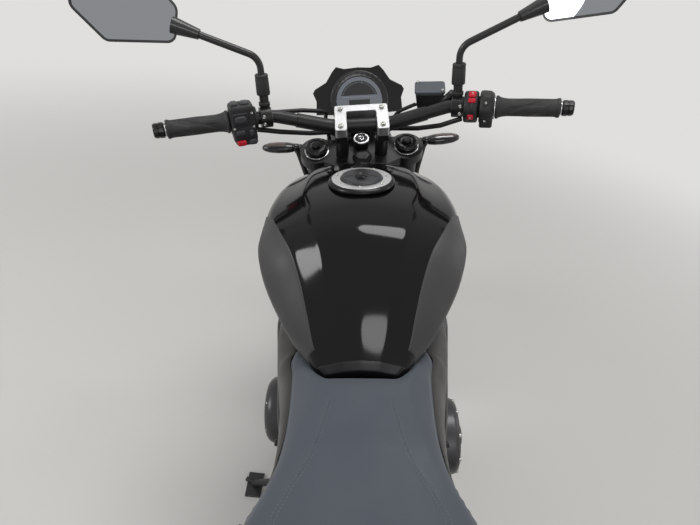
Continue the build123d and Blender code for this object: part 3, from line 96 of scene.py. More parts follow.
def finish(name, colour, rough, metallic=0.0, coat=0.0, mottle=0.12, patch=0.06, grain=0.15,
           grain_size=0.0008, edge=0.0012, wear=0.0, wear_colour=(0.3, 0.3, 0.3), specular=0.28):
    """A finish whose colour and roughness drift by noise over a patch size, with a fine grain as bump.
    Edges are shaded as if rounded by edge metres, and wear lets the bare colour through on them."""
    material = bpy.data.materials.new(name)
    material.use_nodes = True
    nodes, links = material.node_tree.nodes, material.node_tree.links
    shader = nodes["Principled BSDF"]
    socket_in(shader, "Metallic", metallic)
    socket_in(shader, "Coat Weight", coat)
    socket_in(shader, "Coat Roughness", 0.04)
    socket_in(shader, "Specular IOR Level", specular)
    where = nodes.new("ShaderNodeTexCoord").outputs["Object"]
    drift = nodes.new("ShaderNodeTexNoise")
    socket_in(drift, "Scale", 1.0 / patch)
    socket_in(drift, "Detail", 5.0)
    links.new(where, drift.inputs["Vector"])
    tone = nodes.new("ShaderNodeMix")
    tone.data_type = "RGBA"
    tone.inputs[6].default_value = (*(c * (1 - mottle) for c in colour), 1)
    tone.inputs[7].default_value = (*(min(1.0, c * (1 + mottle)) for c in colour), 1)
    links.new(drift.outputs["Fac"], tone.inputs[0])
    gloss = span(nodes, 0.3, 0.7, rough * 0.82, min(1.0, rough * 1.2))
    links.new(drift.outputs["Fac"], gloss.inputs["Value"])
    links.new(gloss.outputs[0], shader.inputs["Roughness"])
    speck = nodes.new("ShaderNodeTexNoise")
    socket_in(speck, "Scale", 1.0 / grain_size)
    socket_in(speck, "Detail", 3.0)
    links.new(where, speck.inputs["Vector"])
    bump = nodes.new("ShaderNodeBump")
    socket_in(bump, "Strength", grain)
    socket_in(bump, "Distance", 0.0003)
    links.new(speck.outputs["Fac"], bump.inputs["Height"])
    colour_out = tone.outputs[2]
    if edge:
        rounded = nodes.new("ShaderNodeBevel")
        rounded.samples = 4
        socket_in(rounded, "Radius", edge)
        links.new(rounded.outputs[0], bump.inputs["Normal"])
        if wear:
            facing = nodes.new("ShaderNodeNewGeometry")
            same = nodes.new("ShaderNodeVectorMath")
            same.operation = "DOT_PRODUCT"
            links.new(rounded.outputs[0], same.inputs[0])
            links.new(facing.outputs["Normal"], same.inputs[1])
            rubbed = span(nodes, 0.985, 0.93, 0.0, wear)
            links.new(same.outputs["Value"], rubbed.inputs["Value"])
            bare = nodes.new("ShaderNodeMix")
            bare.data_type = "RGBA"
            bare.inputs[7].default_value = (*wear_colour, 1)
            links.new(rubbed.outputs[0], bare.inputs[0])
            links.new(colour_out, bare.inputs[6])
            colour_out = bare.outputs[2]
    links.new(colour_out, shader.inputs["Base Color"])
    links.new(bump.outputs[0], shader.inputs["Normal"])
    return material


def dress(node, material):
    """Puts a finish on a CAD node's slots."""
    slots = frame["nodes"][node].data.materials
    for index in range(len(slots)):
        slots[index] = material
    if not len(slots):
        slots.append(material)


dress("frame", finish("frame_paint", (0.018, 0.018, 0.02), 0.38, coat=0.15, grain=0.25, wear=0.25))

# The rear frame: thinner tubes that end on the main spars and carry the seat, in the same satin black.
dress("rear_frame", finish("rear_frame_paint", (0.018, 0.018, 0.02), 0.42, coat=0.1, grain=0.25, wear=0.25))

# The crankcase and cylinders: die cast aluminium under a dark crystal coat, bolted together on flat joints.
case_coat = finish("case_coat", (0.045, 0.045, 0.048), 0.5, metallic=0.35, grain=0.5, grain_size=0.0012,
                   wear=0.5, wear_colour=(0.25, 0.25, 0.26))
dress("crankcase", case_coat)
dress("cylinders", case_coat)
dress("cylinder_head", finish("head_coat", (0.04, 0.04, 0.043), 0.46, metallic=0.35, grain=0.45, wear=0.4))
dress("engine_covers", finish("cover_coat", (0.06, 0.06, 0.064), 0.36, metallic=0.5, grain=0.3, wear=0.5))


def outward(points, faces):
    """The faces, turned over where the volume that they enclose comes out negative."""
    a, b, c = points[faces[:, 0]], points[faces[:, 1]], points[faces[:, 2]]
    d = points[faces[:, -1]]
    volume = np.einsum("ij,ij->", a, np.cross(b, c)) + np.einsum("ij,ij->", a, np.cross(c, d))
    return faces[:, ::-1] if volume < 0 else faces


def set_down(name, points, faces, body, material, smooth=True):
    """One object from points of the upright machine, set down at its body's place and riding on it."""
    place = PLACES[body]
    mesh = bpy.data.meshes.new(name)
    mesh.from_pydata((points @ place[:3, :3].T + place[:3, 3]).tolist(), [], faces)
    mesh.polygons.foreach_set("use_smooth", np.full(len(faces), smooth))
    mesh.materials.append(material)
    made = bpy.data.objects.new(name, mesh)
    bpy.context.collection.objects.link(made)
    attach(made, body)
    return made


def piece(name, stacks, body, material, smooth=True):
    """One object of closed skins. A stack is an array of rings by points by 3. The grid wraps round each
    ring, and the first and last ring close on their middle points."""
    corners, quads, fans, start = [], [], [], 0
    for stack in stacks:
        stack = np.asarray(stack, float)
        rings, sides = stack.shape[:2]
        middle = (stack[0].mean(0) + stack[-1].mean(0)) / 2
        points = np.vstack([stack.reshape(-1, 3), stack[0].mean(0), stack[-1].mean(0)])
        row, column = np.meshgrid(np.arange(rings - 1), np.arange(sides), indexing="ij")
        a, b = row * sides + column, row * sides + (column + 1) % sides
        grid = np.stack([a, b, b + sides, a + sides], axis=-1).reshape(-1, 4)
        side = np.arange(sides)
        near = np.stack([side * 0 + rings * sides, (side + 1) % sides, side], axis=-1)
        base = (rings - 1) * sides
        far = np.stack([side * 0 + rings * sides + 1, base + side, base + (side + 1) % sides], axis=-1)
        whole = np.vstack([grid, near[:, [0, 1, 2, 2]], far[:, [0, 1, 2, 2]]])
        turned = outward(points - middle, whole)
        if turned is not whole:
            near, far, grid = near[:, ::-1], far[:, ::-1], grid[:, ::-1]
        corners.append(points)
        quads += (grid + start).tolist()
        fans += (near + start).tolist() + (far + start).tolist()
        start += len(points)
    return set_down(name, np.vstack(corners), quads + fans, body, material, smooth)


def basis_of(axes):
    """Right, up and along for each row of axes, as 3 by 3 arrays."""
    along = np.asarray(axes, float)
    along = along / np.linalg.norm(along, axis=-1, keepdims=True)
    guide = np.where(np.abs(along[..., 2:3]) > 0.9, (0.0, 1.0, 0.0), (0.0, 0.0, 1.0))
    right = np.cross(guide, along)
    right /= np.linalg.norm(right, axis=-1, keepdims=True)
    return np.stack([right, np.cross(along, right), along], axis=-2)


def turned_shape(profile, at, axis, sides=32, lobes=0, lobe_depth=0.0):
    """A profile of (distance along, radius) turned about an axis; lobes ripple the radius round it."""
    profile = np.asarray(profile, float)
    angle = np.linspace(0, 2 * np.pi, sides, endpoint=False)
    radius = profile[:, 1:2] * (1 + lobe_depth * np.cos(lobes * angle))
    ring = np.stack([radius * np.cos(angle), radius * np.sin(angle), profile[:, :1] + 0 * radius], axis=-1)
    return ring @ basis_of(axis) + np.asarray(at, float)


def screws(rows, sides=18):
    """Cap screws: rows of place, axis and radius. The head is a turned profile, and its socket's radius
    follows a hexagon, cos 30 over cos of the angle from the nearest flat."""
    rows = np.asarray([[*p, *a, r] for p, a, r in rows], float)
    angle = np.linspace(0, 2 * np.pi, sides, endpoint=False)
    flat = math.cos(math.pi / 6) / np.cos((angle % (math.pi / 3)) - math.pi / 6)
    along = np.array([-0.3, 0.0, 0.8, 0.95, 0.95, 0.35, 0.35])
    radius = np.array([1.0, 1.0, 1.0, 0.86, 0.6, 0.56, 0.1])
    hexed = np.array([0, 0, 0, 0, 1, 1, 1])
    round_r = radius[:, None] * np.where(hexed[:, None] == 1, flat[None, :], 1.0)
    head = np.stack([round_r * np.cos(angle), round_r * np.sin(angle), along[:, None] + 0 * round_r],
                    axis=-1)
    frames = basis_of(rows[:, 3:6])
    return [head @ frame_of * size + at for frame_of, size, at in zip(frames, rows[:, 6], rows[:, :3])]


def ring_of(count, at, axis, radius, size, start=0.0):
    """Screws evenly spaced on a circle round an axis."""
    right, up, along = basis_of(axis)
    angle = np.radians(start + 360.0 / count * np.arange(count))
    spots = np.asarray(at, float) + radius * (np.cos(angle)[:, None] * right + np.sin(angle)[:, None] * up)
    return [(spot, along, size) for spot in spots]


# The engine's screws: zinc plated steel cap screws in a ring round each cover.
zinc = finish("zinc", (0.42, 0.42, 0.4), 0.32, metallic=1.0, mottle=0.2, patch=0.01, grain=0.1, edge=0)
bright_steel = finish("bright_steel", (0.6, 0.6, 0.61), 0.2, metallic=1.0, mottle=0.06, grain=0.08, edge=0)
black_metal = finish("black_metal", (0.012, 0.012, 0.013), 0.28, metallic=0.3, grain=0.12, edge=0)
ALTERNATOR_AT, CLUTCH_AT, SENSOR_AT = (-214.5, 92.0, 430.0), (206.5, 36.0, 414.0), (193.6, 118.0, 420.0)
engine_screws = ring_of(7, ALTERNATOR_AT, (-1, 0, 0), 66.0, 4.2, 12)
engine_screws += ring_of(9, CLUTCH_AT, (1, 0, 0), 75.0, 4.2, 5)
engine_screws += ring_of(4, SENSOR_AT, (1, 0, 0), 51.0, 4.0, -50)
piece("engine_screws", screws(engine_screws), "chassis", zinc)


def both(stacks):
    """The stacks and their mirror images across the machine's middle."""
    return stacks + [stack * (-1, 1, 1) for stack in stacks]

def tilted(degrees):
    """The machine's axes turned about X, as rows: across, ahead and up."""
    turn = math.radians(degrees)
    return np.array([(1, 0, 0), (0, math.cos(turn), math.sin(turn)), (0, -math.sin(turn), math.cos(turn))])


# The radiator: an aluminium core of flat tubes with folded fins between them, brazed into two end tanks and
# painted black. The tubes are drawn one by one, and the fins are a fine ripple in the plate behind them.
radiator_black = finish("radiator_black", (0.022, 0.022, 0.024), 0.45, metallic=0.2, grain=0.25, wear=0.2)
dress("radiator", radiator_black)
CORE_AT, CORE_AXES = np.array((0.0, 348.0, 560.0)), tilted(-5.0)


def slab(at, axes, size):
    """A flat-sided bar: two rings of four corners, set along the third axis."""
    corner = np.array([(-1, -1), (1, -1), (1, 1), (-1, 1)]) / 2 * size[:2]
    ring = np.stack([np.column_stack([corner, np.full(4, z)]) for z in (-size[2] / 2, size[2] / 2)])
    return ring @ np.asarray(axes, float) + np.asarray(at, float)


tube_rows = [slab(CORE_AT + np.array((0, sign * 16.9, z)) @ CORE_AXES, CORE_AXES[[1, 2, 0]],
                  (1.9, 1.7, 303)) for sign in (-1, 1) for z in np.arange(-112, 113, 7.0)]
piece("radiator_tubes", tube_rows, "chassis", radiator_black, smooth=False)


FIN_WAVE = 0.0016


def fin_finish():
    """Dark aluminium with a ripple along X as bump, for the folded fins. A wave texture repeats at two pi
    over twenty times its scale."""
    material = finish("fin_aluminium", (0.06, 0.06, 0.062), 0.5, metallic=0.6, grain=0.2, edge=0)
    nodes, links = material.node_tree.nodes, material.node_tree.links
    where = nodes.new("ShaderNodeTexCoord").outputs["Object"]
    fold = nodes.new("ShaderNodeTexWave")
    socket_in(fold, "Scale", 2 * math.pi / 20 / FIN_WAVE)
    links.new(where, fold.inputs["Vector"])
    relief = nodes.new("ShaderNodeBump")
    socket_in(relief, "Distance", 0.0008)
    links.new(fold.outputs["Fac"], relief.inputs["Height"])
    links.new(relief.outputs[0], nodes["Principled BSDF"].inputs["Normal"])
    return material


fin_plates = [slab(CORE_AT + np.array((0, sign * 16.2, 0)) @ CORE_AXES, CORE_AXES[[1, 2, 0]],
                   (0.5, 230, 302)) for sign in (-1, 1)]
piece("radiator_fins", fin_plates, "chassis", fin_finish(), smooth=False)
cap_at = CORE_AT + np.array((164, 6, 124)) @ CORE_AXES
piece("radiator_cap", [turned_shape([(0, 15), (5, 15), (6, 14), (10, 13.4), (11, 12), (11, 3)], cap_at,
                                    CORE_AXES[2], 48, 12, 0.03)], "chassis", zinc)

# The header pipes: thin stainless steel, bent and welded into one under the engine. Heat has turned them
# straw near the ports and blue and brown in the bends, and the colour fades to grey below.
def heated_steel():
    """Brushed steel whose tint follows the height over the ground, blurred by noise, as the heat fades."""
    material = finish("header_steel", (0.4, 0.37, 0.33), 0.27, metallic=1.0, mottle=0.15, patch=0.03,
                      grain=0.25, edge=0)
    nodes, links = material.node_tree.nodes, material.node_tree.links
    where = nodes.new("ShaderNodeTexCoord").outputs["Object"]
    parts = nodes.new("ShaderNodeSeparateXYZ")
    links.new(where, parts.inputs[0])
    blur = nodes.new("ShaderNodeTexNoise")
    socket_in(blur, "Scale", 14.0)
    links.new(where, blur.inputs["Vector"])
    height = nodes.new("ShaderNodeMath")
    height.operation = "MULTIPLY_ADD"
    height.inputs[1].default_value = 0.12
    links.new(blur.outputs["Fac"], height.inputs[0])
    links.new(parts.outputs["Z"], height.inputs[2])
    ramp = nodes.new("ShaderNodeValToRGB")
    tints = ramp.color_ramp.elements
    tints[0].position, tints[0].color = 0.25, (0.36, 0.35, 0.34, 1)
    tints[1].position, tints[1].color = 0.66, (0.5, 0.38, 0.22, 1)
    for spot, colour in ((0.36, (0.4, 0.33, 0.26, 1)), (0.46, (0.3, 0.22, 0.3, 1)),
                         (0.54, (0.2, 0.24, 0.38, 1)), (0.6, (0.42, 0.3, 0.18, 1))):
        tints.new(spot).color = colour
    links.new(height.outputs[0], ramp.inputs[0])
    links.new(ramp.outputs[0], nodes["Principled BSDF"].inputs["Base Color"])
    return material


dress("headers", heated_steel())
BLOCK_AT, BLOCK_AXES = np.array((0.0, 92.0, 430.0)), tilted(-18.0)
BORE_SPACING = 84.0


def on_block(x, y, z):
    """A place on the cylinders: across, out of the ports and up the bores from the crank's middle."""
    return BLOCK_AT + np.array((x, y, z), float) @ BLOCK_AXES


port_rings = [turned_shape([(0, 19), (0, 27), (1, 28), (5, 28), (6, 27), (6, 19.4)],
                           on_block(BORE_SPACING * i, 88, 206), BLOCK_AXES[1], 40, 3, 0.06) for i
              in (-1, 0, 1)]
piece("header_flanges", port_rings, "chassis", zinc)

# The cylinders' ribs are cast with the block, under the same coat. Zinc plated plugs are pressed into the
# cam bores at both ends of the head.
ribs = [slab(on_block(0, 0, z), BLOCK_AXES, (258, 130, 4)) for z in np.arange(104, 170, 12.0)]
piece("cylinder_ribs", ribs, "chassis", case_coat, smooth=False)
plugs = [turned_shape([(-2, 21), (2.4, 21), (3.4, 20), (3.4, 14), (2.0, 13), (2.0, 1)],
                      on_block(side * 130, y, 218), (side, 0, 0), 48)
         for side in (-1, 1) for y in (-36, 36)]
piece("cam_plugs", plugs, "chassis", zinc)

# The silencer: a brushed stainless can with a rolled seam at each end, banded, and a blacked end cap.
dress("silencer", finish("silencer_steel", (0.42, 0.41, 0.4), 0.33, metallic=1.0, mottle=0.12, patch=0.04,
                         grain=0.35, grain_size=0.0006, edge=0.001))
can_from, can_to = np.array((128.0, 40.0, 226.0)), np.array((150.0, -250.0, 262.0))
can_axis = (can_to - can_from) / np.linalg.norm(can_to - can_from)
bands = [turned_shape([(-9, 46), (-9, r + 1.2), (-7.5, r + 2), (7.5, r + 2), (9, r + 1.2), (9, 46)],
                      can_from + can_axis * d, can_axis, 72) for d, r in ((12, 48.2), (150, 50.0))]
piece("silencer_bands", bands, "chassis", zinc)
end_black = finish("end_cap_black", (0.02, 0.02, 0.021), 0.4, metallic=0.3, grain=0.3, edge=0)
end_cap = turned_shape([(-30, 50), (-30, 53), (-28, 53.4), (-4, 53), (0, 51), (2, 44), (2.5, 31)], can_to,
                       can_axis, 72)
piece("silencer_end", [end_cap], "chassis", end_black)

# The fuel tank: pressed and welded steel under gloss black lacquer, with a domed top, a crease that runs back
# from the filler on each side and flanks that swell over the rider's knees and close in towards the seat.
TANK_KEYS = np.array([
    # y, crease x and z, pad edge x and z, widest x and z, lower x and z, bottom x and z, top z
    (294.0, 56, 958, 94, 944, 112, 908, 94, 850, 62, 792, 962),
    (286.0, 64, 964, 104, 948, 124, 908, 104, 850, 66, 791, 970),
    (262.0, 82, 974, 122, 954, 147, 912, 122, 845, 78, 790, 982),
    (225.0, 94, 981, 140, 957, 164, 916, 136, 842, 92, 790, 990),
    (170.0, 100, 986, 154, 957, 174, 921, 146, 838, 108, 790, 998),
    (110.0, 98, 988, 158, 955, 175, 924, 150, 834, 118, 790, 1000),
    (50.0, 84, 985, 134, 957, 177, 917, 151, 832, 118, 790, 994),
    (0.0, 68, 972, 108, 945, 162, 900, 141, 826, 116, 790, 980),
    (-40.0, 57, 944, 92, 918, 140, 868, 121, 815, 102, 790, 949),
    (-80.0, 46, 900, 80, 880, 112, 842, 98, 803, 86, 789, 905),
    (-108.0, 38, 862, 72, 846, 84, 822, 77, 799, 68, 788, 866),
    (-126.0, 31, 834, 62, 824, 72, 809, 65, 794, 56, 786, 837),
    (-136.0, 24, 818, 50, 812, 60, 802, 54, 793, 46, 788, 820),
])


def eased(rows, y):
    """Each column of a table at y, by a cubic through the rows that keeps their slopes."""
    rows = rows[::-1]
    at = rows[:, 0]
    slope = np.gradient(rows, at, axis=0)
    y = np.clip(np.asarray(y, float), at[0], at[-1])
    index = np.clip(np.searchsorted(at, y) - 1, 0, len(at) - 2)
    step = (at[index + 1] - at[index])[:, None]
    t = (y - at[index])[:, None] / step
    return ((2 * t**3 - 3 * t**2 + 1) * rows[index] + (t**3 - 2 * t**2 + t) * step * slope[index]
            + (3 * t**2 - 2 * t**3) * rows[index + 1] + (t**3 - t**2) * step * slope[index + 1])[:, 1:]


def tank_skin(y, turn):
    """A point of the right half: turn runs 0 at the middle of the top, 1 at the crease, 2 at the pad's edge,
    3 at the widest place, 4 at the flank's low edge and 5 at the bottom. Between two of them the line is
    straight plus a bow of 4 t (1 - t) across it, so that the creases stay where the bows meet."""
    y, turn = np.broadcast_arrays(np.asarray(y, float), np.asarray(turn, float))
    keys = eased(TANK_KEYS, y.ravel())
    zero = np.zeros(len(keys))
    xs = np.stack([zero, keys[:, 0], keys[:, 2], keys[:, 4], keys[:, 6], keys[:, 8]], axis=1)
    zs = np.stack([keys[:, 10], keys[:, 1], keys[:, 3], keys[:, 5], keys[:, 7], keys[:, 9]], axis=1)
    span = np.clip(np.floor(turn.ravel()).astype(int), 0, 4)
    t = turn.ravel() - span
    pick = np.arange(len(t))
    x0, x1, z0, z1 = xs[pick, span], xs[pick, span + 1], zs[pick, span], zs[pick, span + 1]
    bows = np.array([0.012, -0.015, 0.13, 0.09, 0.05])[span] * 4 * t * (1 - t)
    x = x0 + (x1 - x0) * t - (z1 - z0) * bows
    z = z0 + (z1 - z0) * t + (x1 - x0) * bows
    return np.stack([x, y.ravel(), z], axis=-1).reshape(*y.shape, 3)


def tank_rings(y, turns):
    """Closed rings round the tank: the right half, and its mirror image back up the left."""
    right = tank_skin(y[:, None], turns[None, :])
    return np.concatenate([right, right[:, -1:0:-1] * (-1, 1, 1)], axis=1)


def softened(rings, rounds=2):
    """Each point moves halfway to the middle of its neighbours along and round the grid, rounds times."""
    rings = rings.copy()
    for _ in range(rounds):
        rings = rings * 0.5 + (np.roll(rings, 1, axis=1) + np.roll(rings, -1, axis=1)) * 0.25
        rings[1:-1] = rings[1:-1] * 0.5 + (rings[:-2] + rings[2:]) * 0.25
    return rings


tank_y = np.concatenate([np.linspace(294, 284, 8), np.linspace(280, -126, 104), np.linspace(-128, -136, 8)])
tank_turn = np.linspace(0, 5, 81)
lacquer = finish("tank_lacquer", (0.0035, 0.0035, 0.004), 0.1, specular=0.22, mottle=0.1, grain=0.02,
                 grain_size=0.004, edge=0)
tank = piece("tank_shell", [softened(tank_rings(tank_y, tank_turn))], "chassis", lacquer)
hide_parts("fuel_tank")

# The knee pads: satin moulded panels let into the flanks, a shade lighter than the lacquer, with a step round
# them that ends in a point at the front and follows the seat's corner at the back.
pad_plastic = finish("pad_plastic", (0.045, 0.045, 0.047), 0.5, mottle=0.06, grain=0.5, grain_size=0.0006,
                     edge=0)
PAD_FRONT, PAD_BACK = 124.0, -113.0
PAD_LONG, PAD_DEEP, PAD_RIM, PAD_PROUD, PAD_SINK = 236, 130, 2.2, 1.4, 3.4


def pad_panel(sign):
    """A grid over the flank between two lines of the tank's turn. It stands proud of the skin in its middle
    and dips under it by the square of the way across its rim."""
    t = np.linspace(0, 1, 110)
    y = PAD_FRONT + (PAD_BACK - PAD_FRONT) * t
    top = 2.02 + 0.62 * np.clip(1 - t / 0.14, 0, 1) ** 1.6
    low = 4.15 - 1.35 * np.clip(1 - t / 0.30, 0, 1) ** 1.5 - 0.35 * np.clip((t - 0.9) / 0.1, 0, 1) ** 2
    s = np.linspace(0, 1, 48)
    turn = top[:, None] + (low - top)[:, None] * s[None, :]
    spot = tank_skin(y[:, None], turn)
    ahead = np.gradient(spot, axis=0)
    round_ = np.gradient(spot, axis=1)
    normal = np.cross(ahead, round_)
    normal /= np.linalg.norm(normal, axis=-1, keepdims=True) + 1e-9
    normal *= np.sign((normal * (spot - (0, 0, 880))).sum(-1, keepdims=True))
    rim = np.minimum(np.minimum(t, 1 - t)[:, None] * PAD_LONG / PAD_RIM,
                     np.minimum(s, 1 - s)[None, :] * PAD_DEEP / PAD_RIM)
    lift = PAD_PROUD - PAD_SINK * np.clip(1 - rim, 0, 1) ** 2
    return (spot + normal * lift[..., None]) * (sign, 1, 1)


def panel(name, sheets, thickness, body, material):
    """Open sheets, each closed by a copy of itself, pushed inwards by the thickness and joined all round."""
    stacks = []
    for sheet in sheets:
        along, across = np.gradient(sheet, axis=0), np.gradient(sheet, axis=1)
        normal = np.cross(along, across)
        normal /= np.linalg.norm(normal, axis=-1, keepdims=True) + 1e-9
        back = sheet - normal * thickness
        stacks.append(np.concatenate([sheet, back[:, ::-1]], axis=1))
    return piece(name, stacks, body, material)


panel("knee_pads", [pad_panel(1), pad_panel(-1)[:, ::-1]], 2.0, "chassis", pad_plastic)

# The tank's trim: satin plastic strips, one behind the tail over the seat's lip, one under the front edge.
def tank_strip(y_from, y_to, turn_to, lift):
    """A strip of the tank's own skin between two y places, out to a turn on both sides, lifted off it."""
    y = np.linspace(y_from, y_to, 14)
    turn = np.linspace(0, turn_to, 40)
    right = tank_skin(y[:, None], turn[None, :])
    whole = np.concatenate([right[:, :0:-1] * (-1, 1, 1), right], axis=1)
    normal = np.cross(np.gradient(whole, axis=1), np.gradient(whole, axis=0))
    normal /= np.linalg.norm(normal, axis=-1, keepdims=True) + 1e-9
    normal *= np.sign(normal[..., 2:3] + 1e-6)
    border = np.minimum(np.linspace(0, 1, 14), np.linspace(1, 0, 14))[:, None, None]
    return whole + normal * lift * np.minimum(1, border * 8 + 0.1)


trim_satin = finish("trim_satin", (0.008, 0.008, 0.009), 0.34, mottle=0.06, grain=0.4, grain_size=0.0007,
                    edge=0)
panel("tank_trim", [tank_strip(-127, -135.6, 2.4, 0.5), tank_strip(293.2, 284, 2.4, 0.8)[::-1]], 1.6,
      "chassis", trim_satin)

# The filler: a cast ring screwed to the tank's neck in a rubber surround, and a locking lid on a hinge with a
# cover over its keyhole and two sunk triangles beside it.
CAP_AT, CAP_AXES = np.array((0.0, 148.0, 997.0)), tilted(-5.0)
cast_silver = finish("cast_silver", (0.72, 0.72, 0.73), 0.34, metallic=1.0, mottle=0.08, patch=0.01,
                     grain=0.35, grain_size=0.0005, edge=0.0012)
dress("filler_ring", cast_silver)
rubber = finish("soft_rubber", (0.026, 0.026, 0.028), 0.62, mottle=0.1, patch=0.02, grain=0.45,
                grain_size=0.0005, edge=0, specular=0.35)
piece("filler_surround", [turned_shape([(-1.5, 53), (-1.5, 60), (3.0, 58.6), (5.4, 56.0), (6.3, 53.1)],
                                       CAP_AT, CAP_AXES[2], 96)], "chassis", black_metal)
piece("filler_screws", screws(ring_of(7, CAP_AT + CAP_AXES[2] * 7.0, CAP_AXES[2], 46.0, 2.6, 10)),
      "chassis", zinc)
lid_black = finish("lid_black", (0.04, 0.042, 0.046), 0.4, metallic=0.3, grain=0.3, grain_size=0.0006,
                   edge=0.0015)
dress("filler_lid", lid_black)


def soft_block(at, axes, size, power=5.0, crown=0.12, sides=40, layers=9):
    """A block with rounded corners: rings of superellipses of a power, whose width closes by a quarter circle
    over the crown's share of the height at each end."""
    angle = np.linspace(0, 2 * np.pi, sides, endpoint=False)
    outline = np.stack([np.sign(np.cos(angle)) * np.abs(np.cos(angle)) ** (2 / power) * size[0] / 2,
                        np.sign(np.sin(angle)) * np.abs(np.sin(angle)) ** (2 / power) * size[1] / 2],
                       axis=-1)
    t = np.linspace(0, np.pi / 2, layers)
    round_by = crown * min(size[0], size[1], size[2] * 2)
    inset = np.concatenate([1 - np.sin(t), 1 - np.cos(t)])
    height = np.concatenate([-size[2] / 2 + round_by * (1 - np.cos(t)), size[2] / 2 - round_by
                             * (1 - np.sin(t))])
    reach = np.hypot(outline[:, 0], outline[:, 1])
    scale = 1 - inset[:, None] * round_by / reach[None, :]
    flat = outline[None] * scale[..., None]
    ring = np.concatenate([flat, np.broadcast_to(height[:, None, None], (*flat.shape[:2], 1))], axis=-1)
    return ring @ np.asarray(axes, float) + np.asarray(at, float)


def on_cap(x, y, z):
    return CAP_AT + np.array((x, y, z), float) @ CAP_AXES


key_cover = [soft_block(on_cap(0, 4, 13.2), CAP_AXES, (23, 47, 3.5), 4, 0.3),
             turned_shape([(0, 10.8), (1.6, 10.8), (2.2, 10.2), (2.2, 8.4), (1.4, 8.0), (1.4, 0.5)],
                          on_cap(0, -8, 14.2), CAP_AXES[2], 48)]
piece("key_cover", key_cover, "filler_lid", black_metal)
wedges = []
for sign in (-1, 1):
    corners = np.array([(sign * 31, -9), (sign * 15, 1), (sign * 31, 11)])
    wedges.append(np.stack([np.column_stack([corners, np.full(3, z)]) @ CAP_AXES + CAP_AT for z
                            in (10.8, 12.1)]))
piece("lid_triangles", wedges, "filler_lid", rubber, smooth=False)

# The seat: soft foam moulded on a plastic base and covered in matte grained vinyl. It is one piece for rider
# and pillion, dished in front, with two horns that reach forward beside the tank and three sewn seams.
SEAT_KEYS = np.array([
    # y, bottom's half width, edge's half width and height, flat top's half width and height, middle height
    (-60.0, 112, 106, 788, 92, 796, 797),
    (-66.0, 117, 110, 791, 90, 803, 805),
    (-110.0, 115, 108, 792, 82, 811, 815),
    (-165.0, 113, 105, 791, 68, 817, 821),
    (-215.0, 113, 105, 790, 78, 812, 817),
    (-260.0, 119, 110, 787, 94, 803, 808),
    (-300.0, 132, 123, 785, 110, 799, 804),
    (-345.0, 152, 143, 785, 128, 799, 805),
    (-385.0, 158, 149, 789, 134, 804, 811),
    (-430.0, 153, 145, 804, 130, 819, 827),
    (-470.0, 143, 134, 826, 119, 841, 851),
    (-530.0, 130, 121, 843, 106, 858, 869),
    (-600.0, 115, 107, 852, 93, 866, 878),
    (-680.0, 88, 80, 858, 68, 872, 882),
    (-700.0, 77, 69, 853, 58, 864, 874),
    (-704.0, 66, 60, 842, 48, 850, 856),
])
SEAT_FLOOR = 768.0
TANK_GAP = 3.0
TAIL_END = -136.0


def under_tank(x, y):
    """How high the seat may be under and beside the tank's tail: the flank's own line, a gap further out.
    Behind the tail the height opens within 26 mm, which gives the seat its sloped front lip."""
    keys = eased(TANK_KEYS, np.maximum(y, TAIL_END))
    out = x - TANK_GAP
    low, side, wide = keys[:, 8:9], keys[:, 6:7], keys[:, 4:5]
    z_low, z_side, z_wide = keys[:, 9:10] - TANK_GAP, keys[:, 7:8], keys[:, 5:6]
    rise = np.where(out < side, z_low + (z_side - z_low) * np.clip((out - low) / (side - low), 0, 1),
                    z_side + (z_wide - z_side) * np.clip((out - side) / (wide - side), 0, 1))
    free = np.clip((out - wide) / 4.0, 0, 1) * 60.0
    behind = np.clip((-138.0 - y) / 26.0, 0, 1)[:, None]
    lip = 810.0 + 12.0 * np.sin(behind * math.pi / 2)
    return np.where(y[:, None] > -138.0, rise + free, np.maximum(lip, rise + free) + 60.0 * (behind >= 1))


def seat_rings():
    """Rings along the seat. From the middle of the top each runs out as a crowned line to the edge, down the
    side, round the bottom's corner and back under the seat, and its mirror image closes it."""
    y = np.concatenate([np.linspace(-60, -68, 5), np.linspace(-71, -700, 180),
                        np.linspace(-701.5, -704, 3)])
    low, half, edge, flat, flat_z, middle = eased(SEAT_KEYS, y).T[:, :, None]
    s = np.linspace(0, 1, 44)[None, :]
    top_x = half * s
    fall = np.clip((top_x - flat) / (half - flat), 0, 1)
    top_z = middle - (middle - flat_z) * np.minimum(top_x / flat, 1) ** 2 - (flat_z - edge) * fall**1.4
    top_z = np.minimum(top_z, under_tank(top_x, y))
    t = np.linspace(0, 1, 16)[None, 1:]
    side_x = half + (low - half) * t
    side_z = edge + (SEAT_FLOOR + 2 - edge) * t
    under_x = low * (1 - np.linspace(0, 1, 20)[None, 1:])
    under_z = np.full_like(under_x, SEAT_FLOOR)
    x = np.concatenate([top_x, side_x, under_x], axis=1)
    z = np.concatenate([top_z, side_z, under_z], axis=1)
    right = np.stack([x, y[:, None] + 0 * x, z], axis=-1)
    left = right[:, -2:0:-1] * (-1, 1, 1)
    return softened(np.concatenate([right, left], axis=1), 7)


QUAD_SIZE, FOAM_PRESSURE, LAST_FRAME, EASING_ROUNDS, SWELL = 0.006, 4.0, 20, 24, 0.005


